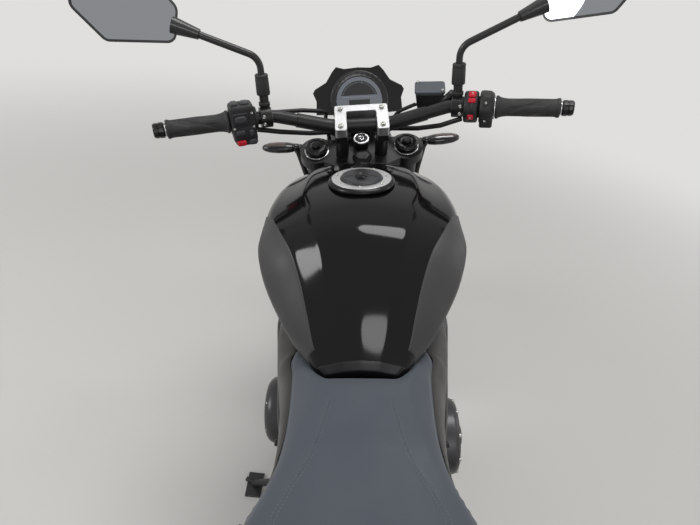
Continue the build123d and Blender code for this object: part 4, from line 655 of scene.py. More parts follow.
def settled_cover(made, swell_cap, fixed_below, place):
    """Remeshes the shape in even quads, lets it swell as a cloth under pressure, and keeps each point within
    a distance of where it was. Each point's move is averaged with its neighbours' to leave no small folds,
    and points below a height stay where they are. One subdivision smooths it."""
    def taken():
        graph = bpy.context.evaluated_depsgraph_get()
        fresh = bpy.data.meshes.new_from_object(made.evaluated_get(graph))
        made.modifiers.clear()
        made.data = fresh

    def places():
        flat = np.empty(len(made.data.vertices) * 3)
        made.data.vertices.foreach_get("co", flat)
        return flat.reshape(-1, 3)

    remesh = made.modifiers.new("even_quads", "REMESH")
    remesh.mode = "VOXEL"
    remesh.voxel_size = QUAD_SIZE
    taken()
    start = places()
    upright = (start - place[:3, 3]) @ np.linalg.inv(place[:3, :3]).T
    held = made.vertex_groups.new(name="held")
    held.add(np.nonzero(upright[:, 2] < fixed_below)[0].tolist(), 1.0, "REPLACE")
    cloth = made.modifiers.new("cover", "CLOTH")
    cloth.settings.use_pressure = True
    cloth.settings.uniform_pressure_force = FOAM_PRESSURE
    cloth.settings.vertex_group_mass = "held"
    cloth.settings.effector_weights.gravity = 0.0
    cloth.point_cache.frame_start, cloth.point_cache.frame_end = 1, LAST_FRAME
    for step in range(1, LAST_FRAME + 1):
        bpy.context.scene.frame_set(step)
    taken()
    bpy.context.scene.frame_set(1)
    moved = places() - start
    reach = np.linalg.norm(moved, axis=1, keepdims=True)
    moved *= np.minimum(1.0, swell_cap / np.maximum(reach, 1e-9))
    ends = np.empty(len(made.data.edges) * 2, int)
    made.data.edges.foreach_get("vertices", ends)
    near, far = ends.reshape(-1, 2).T
    share = np.bincount(ends, minlength=len(moved))[:, None]
    for _ in range(EASING_ROUNDS):
        total = np.zeros_like(moved)
        for axis in range(3):
            total[:, axis] = (np.bincount(near, moved[far, axis], len(moved))
                              + np.bincount(far, moved[near, axis], len(moved)))
        moved = moved * 0.4 + total / share * 0.6
    made.data.vertices.foreach_set("co", (start + moved).ravel())
    made.vertex_groups.clear()
    finer = made.modifiers.new("finer", "SUBSURF")
    finer.levels = finer.render_levels = 1
    taken()
    made.data.polygons.foreach_set("use_smooth", np.full(len(made.data.polygons), True))


# Sewn lines in the plan of the right half, as rows of x and y, and the side seam's drop under the top's edge.
TOP_SEAM = np.array([(44.0, -188), (49, -210), (56, -238), (64, -262), (75, -285), (88, -306), (103, -340),
                     (110, -385), (106, -440), (96, -520), (82, -600), (62, -672)])
CROSS_SEAM_Y = -452.0
SIDE_SEAM_DROP = 7.0


def sewn(made, place):
    """Presses the seams into the cover and writes them as attributes: distance from the nearest seam and
    distance along it, both in millimetres. A groove is depth times exp of minus (distance over width)
    squared, and the two lines of stitches lie 3 mm to each side."""
    count = len(made.data.vertices)
    flat = np.empty(count * 3)
    made.data.vertices.foreach_get("co", flat)
    inverse = np.linalg.inv(place[:3, :3]).T
    points = (flat.reshape(-1, 3) - place[:3, 3]) @ inverse
    half, edge = eased(SEAT_KEYS, points[:, 1]).T[1:3]
    across = np.abs(points[:, 0])
    line = np.linspace(0, 1, 240)
    knots = np.linspace(0, 1, len(TOP_SEAM))
    path = np.stack([np.interp(line, knots, TOP_SEAM[:, i]) for i in (0, 1)], axis=1)
    path[1:-1] = (path[:-2] + path[1:-1] * 2 + path[2:]) / 4
    length = np.concatenate([[0], np.cumsum(np.linalg.norm(np.diff(path, axis=0), axis=1))])
    on_top = points[:, 2] > edge + 2
    near_x = np.interp(-points[:, 1], -path[:, 1], path[:, 0], left=500, right=500)
    slope = np.interp(-points[:, 1], -path[:, 1], np.gradient(path[:, 0], path[:, 1]))
    long_seam = np.where(on_top, np.abs(across - near_x) / np.sqrt(1 + slope**2), 99.0)
    along = np.interp(-points[:, 1], -path[:, 1], length)
    side_z = edge - SIDE_SEAM_DROP
    side_seam = np.where(across > half - 12, np.abs(points[:, 2] - side_z), 99.0)
    side_seam = np.where((points[:, 1] < -70) & (across > 60) | (points[:, 1] < -690), side_seam, 99.0)
    cross_seam = np.where(on_top & (across < near_x), np.abs(points[:, 1] - CROSS_SEAM_Y
                                                            - 10 * (across / 80) ** 2), 99.0)
    distances = np.stack([long_seam, side_seam, cross_seam], axis=1)
    which = distances.argmin(axis=1)
    distance = distances.min(axis=1)
    runs = np.stack([along, -points[:, 1], points[:, 0]], axis=1)[np.arange(count), which]
    normals = np.empty(count * 3)
    made.data.vertex_normals.foreach_get("vector", normals)
    depth = np.array([0.9, 1.3, 1.1])[which]
    pressed = -depth * np.exp(-(distance / 4.5) ** 2) * 0.001
    made.data.vertices.foreach_set("co", (flat.reshape(-1, 3) + normals.reshape(-1, 3)
                                          * pressed[:, None]).ravel())
    for name, values in (("seam_distance", distance), ("seam_run", runs)):
        made.data.attributes.new(name, "FLOAT", "POINT").data.foreach_set("value",
                                                                          values.astype(np.float32))


def vinyl():
    """Matte vinyl: the finish above with a coarser leather grain, a fold line where seam_distance is near 0
    and stitches where it is near 3 mm and the sine of seam_run, with a 5 mm wave, is positive. Along the fold
    line the colour is darkened as painted shade in the seam's groove."""
    material = finish("seat_vinyl", (0.052, 0.062, 0.078), 0.62, mottle=0.07, patch=0.12, grain=0.5,
                      grain_size=0.0011, edge=0)
    nodes, links = material.node_tree.nodes, material.node_tree.links
    shader = nodes["Principled BSDF"]
    socket_in(shader, "Sheen Weight", 0.12)
    socket_in(shader, "Sheen Roughness", 0.5)
    socket_in(shader, "Specular IOR Level", 0.35)

    def computed(operation, first, second=None):
        node = nodes.new("ShaderNodeMath")
        node.operation = operation
        for index, value in enumerate((first, second)):
            if value is None:
                continue
            if isinstance(value, (int, float)):
                node.inputs[index].default_value = value
            else:
                links.new(value, node.inputs[index])
        return node.outputs[0]

    def attribute(name):
        node = nodes.new("ShaderNodeAttribute")
        node.attribute_name = name
        return node.outputs["Fac"]

    away = attribute("seam_distance")
    fold = computed("SUBTRACT", 1.0, computed("MINIMUM", 1.0, computed("DIVIDE", away, 0.9)))
    off_line = computed("ABSOLUTE", computed("SUBTRACT", away, 3.0))
    thread = computed("SUBTRACT", 1.0, computed("MINIMUM", 1.0, computed("DIVIDE", off_line, 0.6)))
    wave = computed("SINE", computed("MULTIPLY", attribute("seam_run"), 2 * math.pi / 5.0))
    stitch = computed("MULTIPLY", thread, computed("GREATER_THAN", wave, -0.35))
    bump = next(n for n in nodes if n.type == "BUMP")
    relief = nodes.new("ShaderNodeBump")
    socket_in(relief, "Strength", 0.8)
    socket_in(relief, "Distance", 0.0008)
    links.new(computed("SUBTRACT", stitch, fold), relief.inputs["Height"])
    links.new(bump.outputs[0], relief.inputs["Normal"])
    links.new(relief.outputs[0], shader.inputs["Normal"])
    tone = shader.inputs["Base Color"].links[0].from_socket
    thread_tone = nodes.new("ShaderNodeMix")
    thread_tone.data_type = "RGBA"
    thread_tone.inputs[7].default_value = (0.12, 0.135, 0.16, 1)
    links.new(stitch, thread_tone.inputs[0])
    links.new(tone, thread_tone.inputs[6])
    # Painted shade: the colour is mixed towards a dark blue grey along the fold line, as shade in the seam's
    # groove.
    painted_fold_shade = nodes.new("ShaderNodeMix")
    painted_fold_shade.data_type = "RGBA"
    painted_fold_shade.inputs[7].default_value = (0.02, 0.024, 0.03, 1)
    links.new(computed("MULTIPLY", fold, 0.2), painted_fold_shade.inputs[0])
    links.new(thread_tone.outputs[2], painted_fold_shade.inputs[6])
    links.new(painted_fold_shade.outputs[2], shader.inputs["Base Color"])
    return material


seat = piece("seat_cover", [seat_rings()], "chassis", vinyl())
settled_cover(seat, SWELL, SEAT_FLOOR + 6, CHASSIS)
sewn(seat, CHASSIS)
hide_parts("seat")

# The side panels: moulded covers between the seat's foot and the frame, from under the tank back to the
# seat's widest place. They lean in at the top to meet the seat and are pushed on with a pin each.
def side_cover():
    """A grid of y and t: from the seat's foot the skin runs out level and turns down by a quarter of an
    ellipse, x by the sine and z by the cosine, over the frame's tube in front and inside it behind."""
    y = np.linspace(96, -336, 130)
    rows = np.array([(-336, 752, 138.0), (-310, 712, 130.0), (-260, 690, 126.0), (-230, 684, 128.0),
                     (-160, 680, 134.0), (-130, 680, 138.0), (-112, 686, 141.0), (-84, 694, 146.0),
                     (-60, 712, 150.0), (-30, 728, 153.0), (0, 738, 156.0), (60, 744, 157.0),
                     (96, 748, 156.0)])
    low_z, out_x = np.interp(y, rows[:, 0], rows[:, 1]), np.interp(y, rows[:, 0], rows[:, 2])
    foot = np.where(y > -60, 108.0, eased(SEAT_KEYS, y)[:, 0] - np.interp(y, [-336, -250], [14.0, 4.0]))
    high_z = np.interp(y, [-90, -60], [779.0, 784.0])
    turn = np.linspace(0, math.pi / 2, 34)[None, :]
    x = foot[:, None] + (out_x - foot)[:, None] * np.sin(turn)
    z = high_z[:, None] - (high_z - low_z)[:, None] * (1 - np.cos(turn))
    return np.stack([x, y[:, None] + 0 * z, z], axis=-1)


cover_satin = finish("cover_satin", (0.034, 0.033, 0.032), 0.4, mottle=0.07, grain=0.45, grain_size=0.0007,
                     edge=0)
cover = side_cover()
covers = panel("side_covers", [cover, (cover * (-1, 1, 1))[:, ::-1]], 2.4, "chassis", cover_satin)
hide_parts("side_panels")
cover_pins = [((s * 130.4, -190.0, 717.0), (s, 0, 0.3), 5.0) for s in (-1, 1)]
piece("cover_pins", screws(cover_pins), "chassis", black_metal)

# The tail: a moulded undertray and hump in satin black, with the red lamp let into its end and the amber
# indicators on stalks by the number plate.
dress("tail_unit", finish("tail_plastic", (0.02, 0.02, 0.021), 0.36, coat=0.1, grain=0.3, grain_size=0.0008,
                          edge=0.004))
dress("rear_lamps", finish("lamp_black", (0.015, 0.015, 0.016), 0.3, grain=0.2, edge=0.002))
lens_red = finish("lens_red", (0.32, 0.004, 0.006), 0.08, coat=1.0, mottle=0.2, patch=0.006, grain=0.2,
                  grain_size=0.003, edge=0)
BACKWARD = np.array([(1, 0, 0), (0, 0, 1), (0, -1, 0)], float)
piece("tail_lens", [soft_block((0, -801.5, 822), BACKWARD, (76, 21, 4), 6, 0.3)], "chassis", lens_red)
lens_amber = finish("lens_amber", (0.6, 0.16, 0.01), 0.1, coat=1.0, mottle=0.2, patch=0.006, grain=0.2,
                    grain_size=0.003, edge=0)
amber = [turned_shape([(0, 8), (0, 12.3), (2, 13.3), (38, 15.6), (50, 15.2), (56, 11.5), (58.5, 4)],
                      (106, -1014, 566.6), (1, 0, 0.06), 40)]
piece("rear_amber", both(amber), "chassis", lens_amber)

# The rear mudguard and the plate's hanger: injection moulded black plastic. The plate itself is blank.
dress("rear_mudguard", finish("guard_plastic", (0.018, 0.018, 0.019), 0.42, grain=0.35, grain_size=0.0008,
                              edge=0.002))
dress("plate_hanger", finish("hanger_black", (0.018, 0.018, 0.019), 0.42, grain=0.3, edge=0.0015))
PLATE_AXES = tilted(-80.0)
plate_at = np.array((0, -1034.0, 562.0)) - PLATE_AXES[2] * 3.3
blank = finish("blank_plate", (0.7, 0.7, 0.68), 0.35, mottle=0.04, grain=0.3, grain_size=0.0006, edge=0.001)
piece("number_plate", [soft_block(plate_at, PLATE_AXES, (194, 144, 1.6), 16, 0.2, 72)], "chassis", blank)
piece("plate_screws", screws([(plate_at + np.array((x, 0, -0.8)) @ PLATE_AXES, -PLATE_AXES[2], 4.0)
                              for x in (-60, 60)]), "chassis", zinc)

# The swingarm: steel box legs welded to a pivot tube and painted satin black, with an axle clamped in its
# ends. The adjusters' screws push on the axle from behind.
dress("swingarm", finish("swingarm_paint", (0.02, 0.02, 0.022), 0.38, coat=0.15, grain=0.25, wear=0.3))
dress("rear_axle", finish("axle_steel", (0.36, 0.36, 0.35), 0.34, metallic=1.0, mottle=0.15, patch=0.01,
                          edge=0))
REAR_HUB = np.array((0.0, -700.5, 315.0))
washers = [turned_shape([(0, 11), (0, 20), (0.6, 20.6), (2.0, 20.6), (2.6, 20), (2.6, 11)],
                        REAR_HUB + (151.8, 0, 0), (1, 0, 0), 40)]
ADJUSTERS, ARM_PIVOT = [(139.0, -746.5, 301.0), (139.0, -746.5, 329.0)], (152.2, -140.0, 400.0)
arm_bolts = screws([(spot, (0, -1, 0), 5.0) for spot in ADJUSTERS] + [(ARM_PIVOT, (1, 0, 0), 11.0)])
piece("arm_washers", both(washers), "chassis", zinc)
piece("arm_bolts", both(arm_bolts), "chassis", zinc)

# The shock: a chromed rod and a black damper inside a wound steel spring, held between two turned seats.
SHOCK_LOW, SHOCK_HIGH = np.array((0.0, -202.0, 464.0)), np.array((0.0, -74.0, 640.0))
shock_axis = (SHOCK_HIGH - SHOCK_LOW) / np.linalg.norm(SHOCK_HIGH - SHOCK_LOW)
shock_length = np.linalg.norm(SHOCK_HIGH - SHOCK_LOW)


def spring(turns, radius, wire, start, end):
    """A helix of a radius about the shock's axis; round each of its points the wire's own circle. The pitch
    is flat over the first and last three quarters of a turn, as on a ground spring."""
    t = np.linspace(0, turns, int(turns * 40))
    climb = np.interp(t, [0, 0.75, turns - 0.75, turns], [0, 0.06, 0.94, 1])
    phase, around = 2 * np.pi * t, np.linspace(0, 2 * np.pi, 14, endpoint=False)
    out = np.stack([np.cos(phase), np.sin(phase), 0 * phase], axis=-1)
    middle = out * radius + np.array((0, 0, 1.0)) * (start + (end - start) * climb)[:, None]
    ring = middle[:, None] + wire * (np.cos(around)[None, :, None] * out[:, None]
                                     + np.sin(around)[None, :, None] * np.array((0, 0, 1.0)))
    return ring @ basis_of(shock_axis) + SHOCK_LOW


coil_black = finish("spring_powder", (0.03, 0.03, 0.032), 0.36, coat=0.2, grain=0.25, edge=0)
piece("shock_spring", [spring(7.2, 30.4, 5.3, 36, shock_length - 36)], "chassis", coil_black)
lower_seat = [(0, 3), (0, 14), (20, 14), (20, 24), (24, 35.6), (30, 35.6), (31, 30), (31, 8)]
upper_seat = [(95, 8), (95, 20.5), (97, 22), (shock_length - 31, 22), (shock_length - 30, 35.6),
              (shock_length - 24, 35.6), (shock_length - 20, 14), (shock_length, 14), (shock_length, 3)]
damper = [turned_shape(profile, SHOCK_LOW, shock_axis, 48) for profile in (lower_seat, upper_seat)]
shock = piece("shock_damper", damper, "chassis", black_metal)
piece("shock_rod", [turned_shape([(28, 2), (28, 8), (100, 8), (100, 2)], SHOCK_LOW, shock_axis, 32)],
      "chassis", bright_steel)
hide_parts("shock")

# The chain: pressed steel plates riveted over rollers, link by link round both sprockets.
PITCH = 15.875
sprocket_at = np.array([(-72.0, 425.0), (-700.5, 315.0)])
sprocket_r = PITCH / 2 / np.sin(np.pi / np.array([16, 46]))


def chain_points():
    """Points a pitch apart on the line round both pitch circles. The straight runs touch the circles where
    the angle off the line of centres has a cosine of the radii's difference over the distance."""
    gap = sprocket_at[1] - sprocket_at[0]
    line = math.atan2(gap[1], gap[0])
    spread = math.acos((sprocket_r[0] - sprocket_r[1]) / np.hypot(*gap))
    first = np.linspace(line + spread, line - spread + 2 * math.pi, 200)
    second = np.linspace(line - spread, line + spread, 400)
    loop = np.vstack([sprocket_at[0] + sprocket_r[0] * np.stack([np.cos(first), np.sin(first)], axis=-1),
                      sprocket_at[1] + sprocket_r[1] * np.stack([np.cos(second), np.sin(second)], axis=-1)])
    loop = np.vstack([loop, loop[:1]])
    run = np.concatenate([[0], np.cumsum(np.hypot(*np.diff(loop, axis=0).T))])
    at = np.linspace(0, run[-1], int(round(run[-1] / PITCH / 2)) * 2, endpoint=False)
    return np.stack([np.interp(at, run, loop[:, 0]), np.interp(at, run, loop[:, 1])], axis=-1)


def link_plate(start, end, x, thick, height):
    """A plate with round ends about two pins, waisted between them, as two rings of one outline."""
    across = np.linspace(-math.pi / 2, math.pi / 2, 7)
    out = (end - start) / np.hypot(*(end - start))
    side = np.array((-out[1], out[0]))
    cap = height / 2 * (np.cos(across)[:, None] * out + np.sin(across)[:, None] * side)
    waist = (start + end) / 2
    outline = np.vstack([end + cap, waist + side * height * 0.36, start - cap, waist - side * height
                         * 0.36])
    return np.stack([np.column_stack([np.full(len(outline), x + s * thick / 2), outline]) for s in (-1, 1)])


pins = chain_points()
links, rollers = [], []
for index, (start, end) in enumerate(zip(pins, np.roll(pins, -1, axis=0))):
    spread = 7.6 if index % 2 else 5.4
    links += [link_plate(start, end, -105.5 + s * spread, 1.9, 14.2) for s in (-1, 1)]
    rollers.append(turned_shape([(-9, 2.4), (-9, 2.6), (-4.5, 2.6), (-4.4, 5), (4.4, 5), (4.5, 2.6),
                                 (9, 2.6)], (-105.5, *start), (1, 0, 0), 12))
chain_steel = finish("chain_steel", (0.2, 0.19, 0.17), 0.36, metallic=1.0, mottle=0.3, patch=0.02,
                     grain=0.2, edge=0)
chain = piece("chain_links", links, "chassis", chain_steel, smooth=False)
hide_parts("chain")
piece("chain_rollers", rollers, "chassis", chain_steel)

# The footrests: forged steel hangers and pegs in black. Moulded rubbers with ribs are pushed over the pegs.
dress("footrests", finish("footrest_black", (0.022, 0.022, 0.024), 0.4, metallic=0.3, grain=0.25, wear=0.4))


def peg_rubber(start, end, radius):
    """A sleeve with a rolled flange at its outer end and round ribs, a sine of 6 mm wave along it."""
    start, end = np.array(start, float), np.array(end, float)
    length = np.linalg.norm(end - start)
    along = np.linspace(0, length, 90)
    ribs = radius + 0.9 * np.sin(along * 2 * np.pi / 6.0) + 2.5 * np.clip((along - length + 5) / 3, 0, 1)
    profile = np.column_stack([np.concatenate([[0], along, [length + 2]]),
                               np.concatenate([[radius - 3], ribs, [radius - 2]])])
    return turned_shape(profile, start, end - start, 28)


peg_sleeves = [peg_rubber((172, -149, 348.4), (256, -155.7, 351.6), 12.8),
               peg_rubber((120, -416.5, 532.3), (195, -420, 534), 11.6)]
piece("peg_rubbers", both(peg_sleeves), "chassis", rubber)

# The side stand: a forged steel leg with a flat foot, painted black. The paint is worn on its edges.
dress("side_stand", finish("stand_paint", (0.02, 0.02, 0.022), 0.4, coat=0.1, grain=0.25, wear=0.5))

# The rear brake's caliper: cast aluminium, anodised, held on its plate by two screws.
caliper_coat = finish("caliper_black", (0.025, 0.025, 0.027), 0.34, metallic=0.5, grain=0.35, wear=0.4)
dress("rear_caliper", caliper_coat)

# The wheels: cast aluminium, powder coated black, with brake discs bolted to their hubs and a valve each.
def axle_turn(degrees, radius, x, hub):
    """A place round a hub at an angle up from straight ahead."""
    turn = np.radians(degrees)
    return np.asarray(hub) + np.stack([x + 0 * turn, radius * np.cos(turn), radius * np.sin(turn)], axis=-1)


FRONT_HUB = np.array((0.0, 700.5, 300.0))
wheel_black = finish("wheel_powder", (0.018, 0.018, 0.019), 0.32, coat=0.3, grain=0.25, grain_size=0.0007,
                     edge=0.002)
dress("front_rim", wheel_black)
dress("rear_rim", wheel_black)
disc_steel = finish("disc_steel", (0.44, 0.43, 0.42), 0.3, metallic=1.0, mottle=0.1, patch=0.008, grain=0.3,
                    grain_size=0.0004, edge=0.0006)
dress("front_discs", disc_steel)
dress("rear_disc", disc_steel)
dress("rear_sprocket", finish("sprocket_steel", (0.2, 0.2, 0.2), 0.38, metallic=1.0, grain=0.25,
                              edge=0.0006))
for body, hub, sides, reach in (("front_wheel", FRONT_HUB, ((66.0, 155.0), (-66.0, 155.0)), 60.5),
                                ("rear_wheel", REAR_HUB, ((84.0, 127.5),), 76.0)):
    holes, bolts = [], []
    for x, radius in sides:
        for row, inset in enumerate((9.0, 18.0, 27.0)):
            turns = np.arange(24) * 15.0 + row * 5.0
            holes += [turned_shape([(-2.32, 3.1), (2.32, 3.1)], spot, (1, 0, 0), 10)
                      for spot in axle_turn(turns, radius - inset, x, hub)]
        out = math.copysign(1.0, x)
        bolts += [(spot, (out, 0, 0), 4.6)
                  for spot in axle_turn(np.arange(5) * 72.0 + 36.0, 43.0, x + out * 2.2, hub)]
    piece(body + "_disc_holes", holes, body, black_metal, smooth=False)
    piece(body + "_disc_bolts", screws(bolts), body, zinc)
    valve = turned_shape([(0, 6), (4, 5), (6, 3), (22, 3), (22, 3.6), (31, 3.6), (32, 2.4)],
                         axle_turn(18.0, 196.0, 22.0, hub), axle_turn(18.0, -1.0, 0.0, (0, 0, 0)), 16)
    piece(body + "_valve", [valve], body, rubber)


# The tyres: black rubber moulded with slanting grooves across a round tread, which fade towards its edge.
ROUND_POINTS, TREAD_POINTS = 880, 73
LIP_RADIUS, BEAD_RADIUS = 227.0, 219.0


def tyre_skin(hub, radius, half, crown, bead_half, count, lean, depth):
    """Angle round the axle by place across the section: the crown's arc, a wall bowed through three points,
    and the inside along the bead. A groove is cut where the way round, less a lean that grows towards the
    shoulder, is near a whole share of the tyre; its depth falls off by the fourth power across its width."""
    edge = half - 4.0
    shoulder, lip = radius - crown + math.sqrt(crown**2 - edge**2), LIP_RADIUS
    across = np.linspace(-1, 1, TREAD_POINTS) * math.asin(edge / crown)
    tread = np.stack([crown * np.sin(across), radius - crown + crown * np.cos(across)], axis=-1)
    s = np.linspace(0, 1, 11)[1:, None]
    bow = np.array((half + 1.0, (shoulder + lip) / 2 + 4.0)) * 2 - (np.array((edge, shoulder))
                                                                   + (bead_half, lip)) / 2
    wall = (1 - s) ** 2 * (edge, shoulder) + 2 * s * (1 - s) * bow + s**2 * np.array((bead_half, lip))
    inside = np.array([(bead_half * share, BEAD_RADIUS) for share in (1, 0.4, -0.4, -1)])
    section = np.vstack([tread, wall, inside, (wall * (-1, 1))[::-1]])
    turn = np.linspace(0, 2 * np.pi, ROUND_POINTS, endpoint=False)[:, None]
    share = np.zeros(len(section))
    share[:TREAD_POINTS] = np.abs(np.linspace(-1, 1, TREAD_POINTS))
    hand = np.where(section[:, 0] > 0, 0.5, 0.0)
    cut = np.zeros((ROUND_POINTS, len(section)))
    for offset, first, last, width in ((0.0, 0.1, 0.86, 5.0), (0.36, 0.42, 0.92, 4.0),
                                       (0.68, 0.24, 0.6, 4.0)):
        way = turn / (2 * np.pi) * count - lean * share[None, :] ** 0.8 + hand + offset
        off = (way - np.round(way)) / count * 2 * np.pi * radius
        near = np.clip((share - first) / 0.06, 0, 1) * np.clip((last - share) / 0.1, 0, 1)
        cut = np.maximum(cut, (1 - np.clip(np.abs(off) / (width / 2), 0, 1) ** 4) * near[None, :])
    cut[:, TREAD_POINTS:] = 0
    r = section[None, :, 1] - depth * cut
    x = np.broadcast_to(section[None, :, 0], r.shape)
    return np.stack([x, r * np.cos(turn), r * np.sin(turn)], axis=-1) + hub


def looped(name, grid, body, material):
    """One object from a grid that closes on itself both ways, as a ring of rings."""
    rings, sides = grid.shape[:2]
    row, column = np.meshgrid(np.arange(rings), np.arange(sides), indexing="ij")
    a, b = row * sides + column, row * sides + (column + 1) % sides
    c, d = (row + 1) % rings * sides + (column + 1) % sides, (row + 1) % rings * sides + column
    points = grid.reshape(-1, 3)
    faces = outward(points - points.mean(0), np.stack([a, b, c, d], axis=-1).reshape(-1, 4))
    return set_down(name, points, faces.tolist(), body, material)


tyre_rubber = finish("tyre_rubber", (0.02, 0.02, 0.0205), 0.74, mottle=0.15, patch=0.05, grain=0.4, edge=0,
                     specular=0.35)
front_tread = looped("front_tyre_tread", tyre_skin(FRONT_HUB, 300.0, 60.0, 62.0, 44.5, 24, 1.1, 3.6),
                     "front_wheel", tyre_rubber)
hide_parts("front_tyre")
rear_tread = looped("rear_tyre_tread", tyre_skin(REAR_HUB, 315.0, 90.0, 95.0, 69.8, 26, -1.2, 4.4),
                    "rear_wheel", tyre_rubber)
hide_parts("rear_tyre")

# The fork: black anodised tubes held in the yokes, hard chromed legs that slide in them from below, and cast
# feet that clamp the axle and carry the calipers. A rubber wiper closes each tube.
FORK_UP = in_fork((0, 0, 1)) - FORK_FOOT
dress("fork_tubes", finish("anodised_black", (0.017, 0.017, 0.019), 0.3, metallic=0.6, mottle=0.06,
                           grain=0.15, edge=0.0015))
dress("fork_sliders", finish("hard_chrome", (0.6, 0.6, 0.61), 0.09, metallic=1.0, mottle=0.04, grain=0.03,
                             edge=0))
dress("fork_feet", finish("foot_black", (0.024, 0.024, 0.026), 0.38, metallic=0.4, grain=0.35, wear=0.4))
dress("front_calipers", caliper_coat)
dress("front_axle", finish("front_axle_steel", (0.36, 0.36, 0.35), 0.32, metallic=1.0, mottle=0.15,
                           patch=0.01, edge=0))
dress("front_mudguard", finish("front_guard_plastic", (0.016, 0.016, 0.017), 0.28, coat=0.2, grain=0.2,
                               grain_size=0.0008, edge=0.002))
wipers = [turned_shape([(-3, 20.8), (-3, 24.0), (0, 26.4), (3, 29.6), (8, 30.2), (9, 28)],
                       in_fork((s * 101.0, 27.3, 254.0)), FORK_UP, 48) for s in (-1, 1)]
piece("fork_wipers", wipers, "steering", rubber)
foot_screws = [(in_fork((s * 101.0 + dx, 27.3 - 24.2, z)), in_fork((0, -1, 0)) - FORK_FOOT, 4.2)
               for s in (-1, 1) for dx in (-9, 9) for z in (20, 40)]
piece("foot_screws", screws(foot_screws), "steering", zinc)

# The yokes: forged aluminium, machined where the tubes pass and anodised black. The upper one carries the
# bar's risers, the ignition lock with its bright ring, and the nut that holds the steering stem.
dress("top_yoke", finish("yoke_black", (0.013, 0.013, 0.014), 0.36, metallic=0.2, coat=0.1, grain=0.2,
                         wear=0.3))
dress("bottom_yoke", finish("lower_yoke_black", (0.013, 0.013, 0.014), 0.42, metallic=0.2, grain=0.25,
                            wear=0.3))
lock_rings = [turned_shape([(0, 17.6), (3, 17.6), (4, 16.6), (4, 12.8), (1.5, 12.4), (0, 12.4)],
                           in_fork((0, 36, 741.5)), FORK_UP, 48),
              turned_shape([(0, 6.6), (3.2, 6.6), (3.8, 6.0), (3.8, 4.9), (2.0, 4.7), (0, 4.7)],
                           in_fork((0, 36, 742)), FORK_UP, 32)]
piece("lock_rings", lock_rings, "steering", bright_steel)
lock_black = [turned_shape([(0, 12.4), (2.2, 12.4), (3.0, 11.6), (2.4, 7.2), (1.6, 6.7), (0, 6.7)],
                           in_fork((0, 36, 742)), FORK_UP, 40),
              turned_shape([(-0.5, 20.5), (4.0, 20.5), (6.5, 19.4), (8.0, 17.0), (8.0, 10.0)],
                           in_fork((0, 0, 722)), FORK_UP, 48, 6, 0.05)]
piece("lock_barrel", lock_black, "steering", black_metal)

# The fork caps: black anodised aluminium screwed into the tubes, with facets cut round the edge that catch
# the light, a bright ring where each meets its tube and an adjuster in the middle.
caps, cap_rings = [], []
for side in (-1, 1):
    top = in_fork((side * 101.0, 27.3, 733.0))
    caps.append(turned_shape([(0, 24.2), (2.0, 24.2), (5.6, 21.0), (6.0, 15.5), (4.0, 14.5), (3.6, 9.8),
                              (8.6, 9.2), (9.4, 8.2), (9.4, 3.0)], top, FORK_UP, 60, 10, 0.035))
    cap_rings.append(turned_shape([(0, 27.6), (1.6, 27.6), (2.2, 26.8), (2.2, 24.6), (0, 24.4)],
                                  in_fork((side * 101.0, 27.3, 721.5)), FORK_UP, 64))
piece("fork_caps", caps, "steering", black_metal, smooth=False)
piece("fork_cap_rings", cap_rings, "steering", bright_steel)

# The handlebar: a steel tube drawn thin at its ends and powder coated, held by a bead blasted aluminium
# clamp with four cap screws.
dress("handlebar", finish("bar_powder", (0.013, 0.013, 0.014), 0.4, grain=0.35, grain_size=0.0006, edge=0))
dress("bar_clamp", finish("blasted_aluminium", (0.44, 0.44, 0.45), 0.5, metallic=1.0, mottle=0.05,
                          patch=0.02, grain=0.5, grain_size=0.0005, edge=0.002))
CLAMP_TOP = 807.9 + 22.3
clamp_screws = [(in_fork((x, 11.7 + y, CLAMP_TOP)), FORK_UP, 5.2)
                for x in (-43, 43) for y in (-24, 24)]
piece("clamp_screws", screws(clamp_screws), "steering", zinc)

# The grips: moulded rubber pushed over the bar, with a flange inside, a rolled end and long slanting flutes
# under the palm. A black weight on a bright step closes each end of the bar.
BAR_KNEE, BAR_TIP = np.array((176.0, 332.0, 1062.0)), np.array((397.0, 262.0, 1069.0))
GRIP_AXIS = (BAR_TIP - BAR_KNEE) / np.linalg.norm(BAR_TIP - BAR_KNEE)


def on_grip(distance):
    """A place on the right grip's axis, a distance in from the bar's tip."""
    return BAR_TIP - GRIP_AXIS * distance


def grip_skin():
    """Radius against the distance along: the flange, a cone, the palm's barrel and a rolled end. The flutes
    take off 1.7 mm where the sine of four times the angle plus a twist along the grip is high."""
    along = np.concatenate([[0, 0, 1.5, 4.5, 6, 7], np.linspace(8.5, 112, 96), [113, 115, 117, 118, 118]])
    radius = np.interp(along, [0, 0.5, 1.5, 4.5, 6, 7, 14, 22, 60, 104, 110, 113, 117, 118],
                       [19.5, 21.2, 21.8, 21.8, 20.6, 19.6, 17.6, 16.6, 16.9, 16.4, 16.6, 17.9, 17.9, 16.0])
    radius[0] = radius[-1] = 11.5
    angle = np.linspace(0, 2 * np.pi, 96, endpoint=False)
    window = np.clip((along - 20) / 10, 0, 1) * np.clip((106 - along) / 10, 0, 1)
    swing = np.sin(4 * angle[None, :] + along[:, None] * 0.06) + 0.5 * np.sin(along[:, None] * 0.09)
    flute = 1.7 / (1 + np.exp(-14 * (swing - 0.55)))
    rib = 0.5 * (np.sin(along * 1.9) > 0)[:, None] * (flute > 1.2)
    full = radius[:, None] - window[:, None] * (flute - rib)
    ring = np.stack([full * np.cos(angle), full * np.sin(angle), along[:, None] + 0 * full], axis=-1)
    return ring @ basis_of(GRIP_AXIS) + on_grip(142.0)


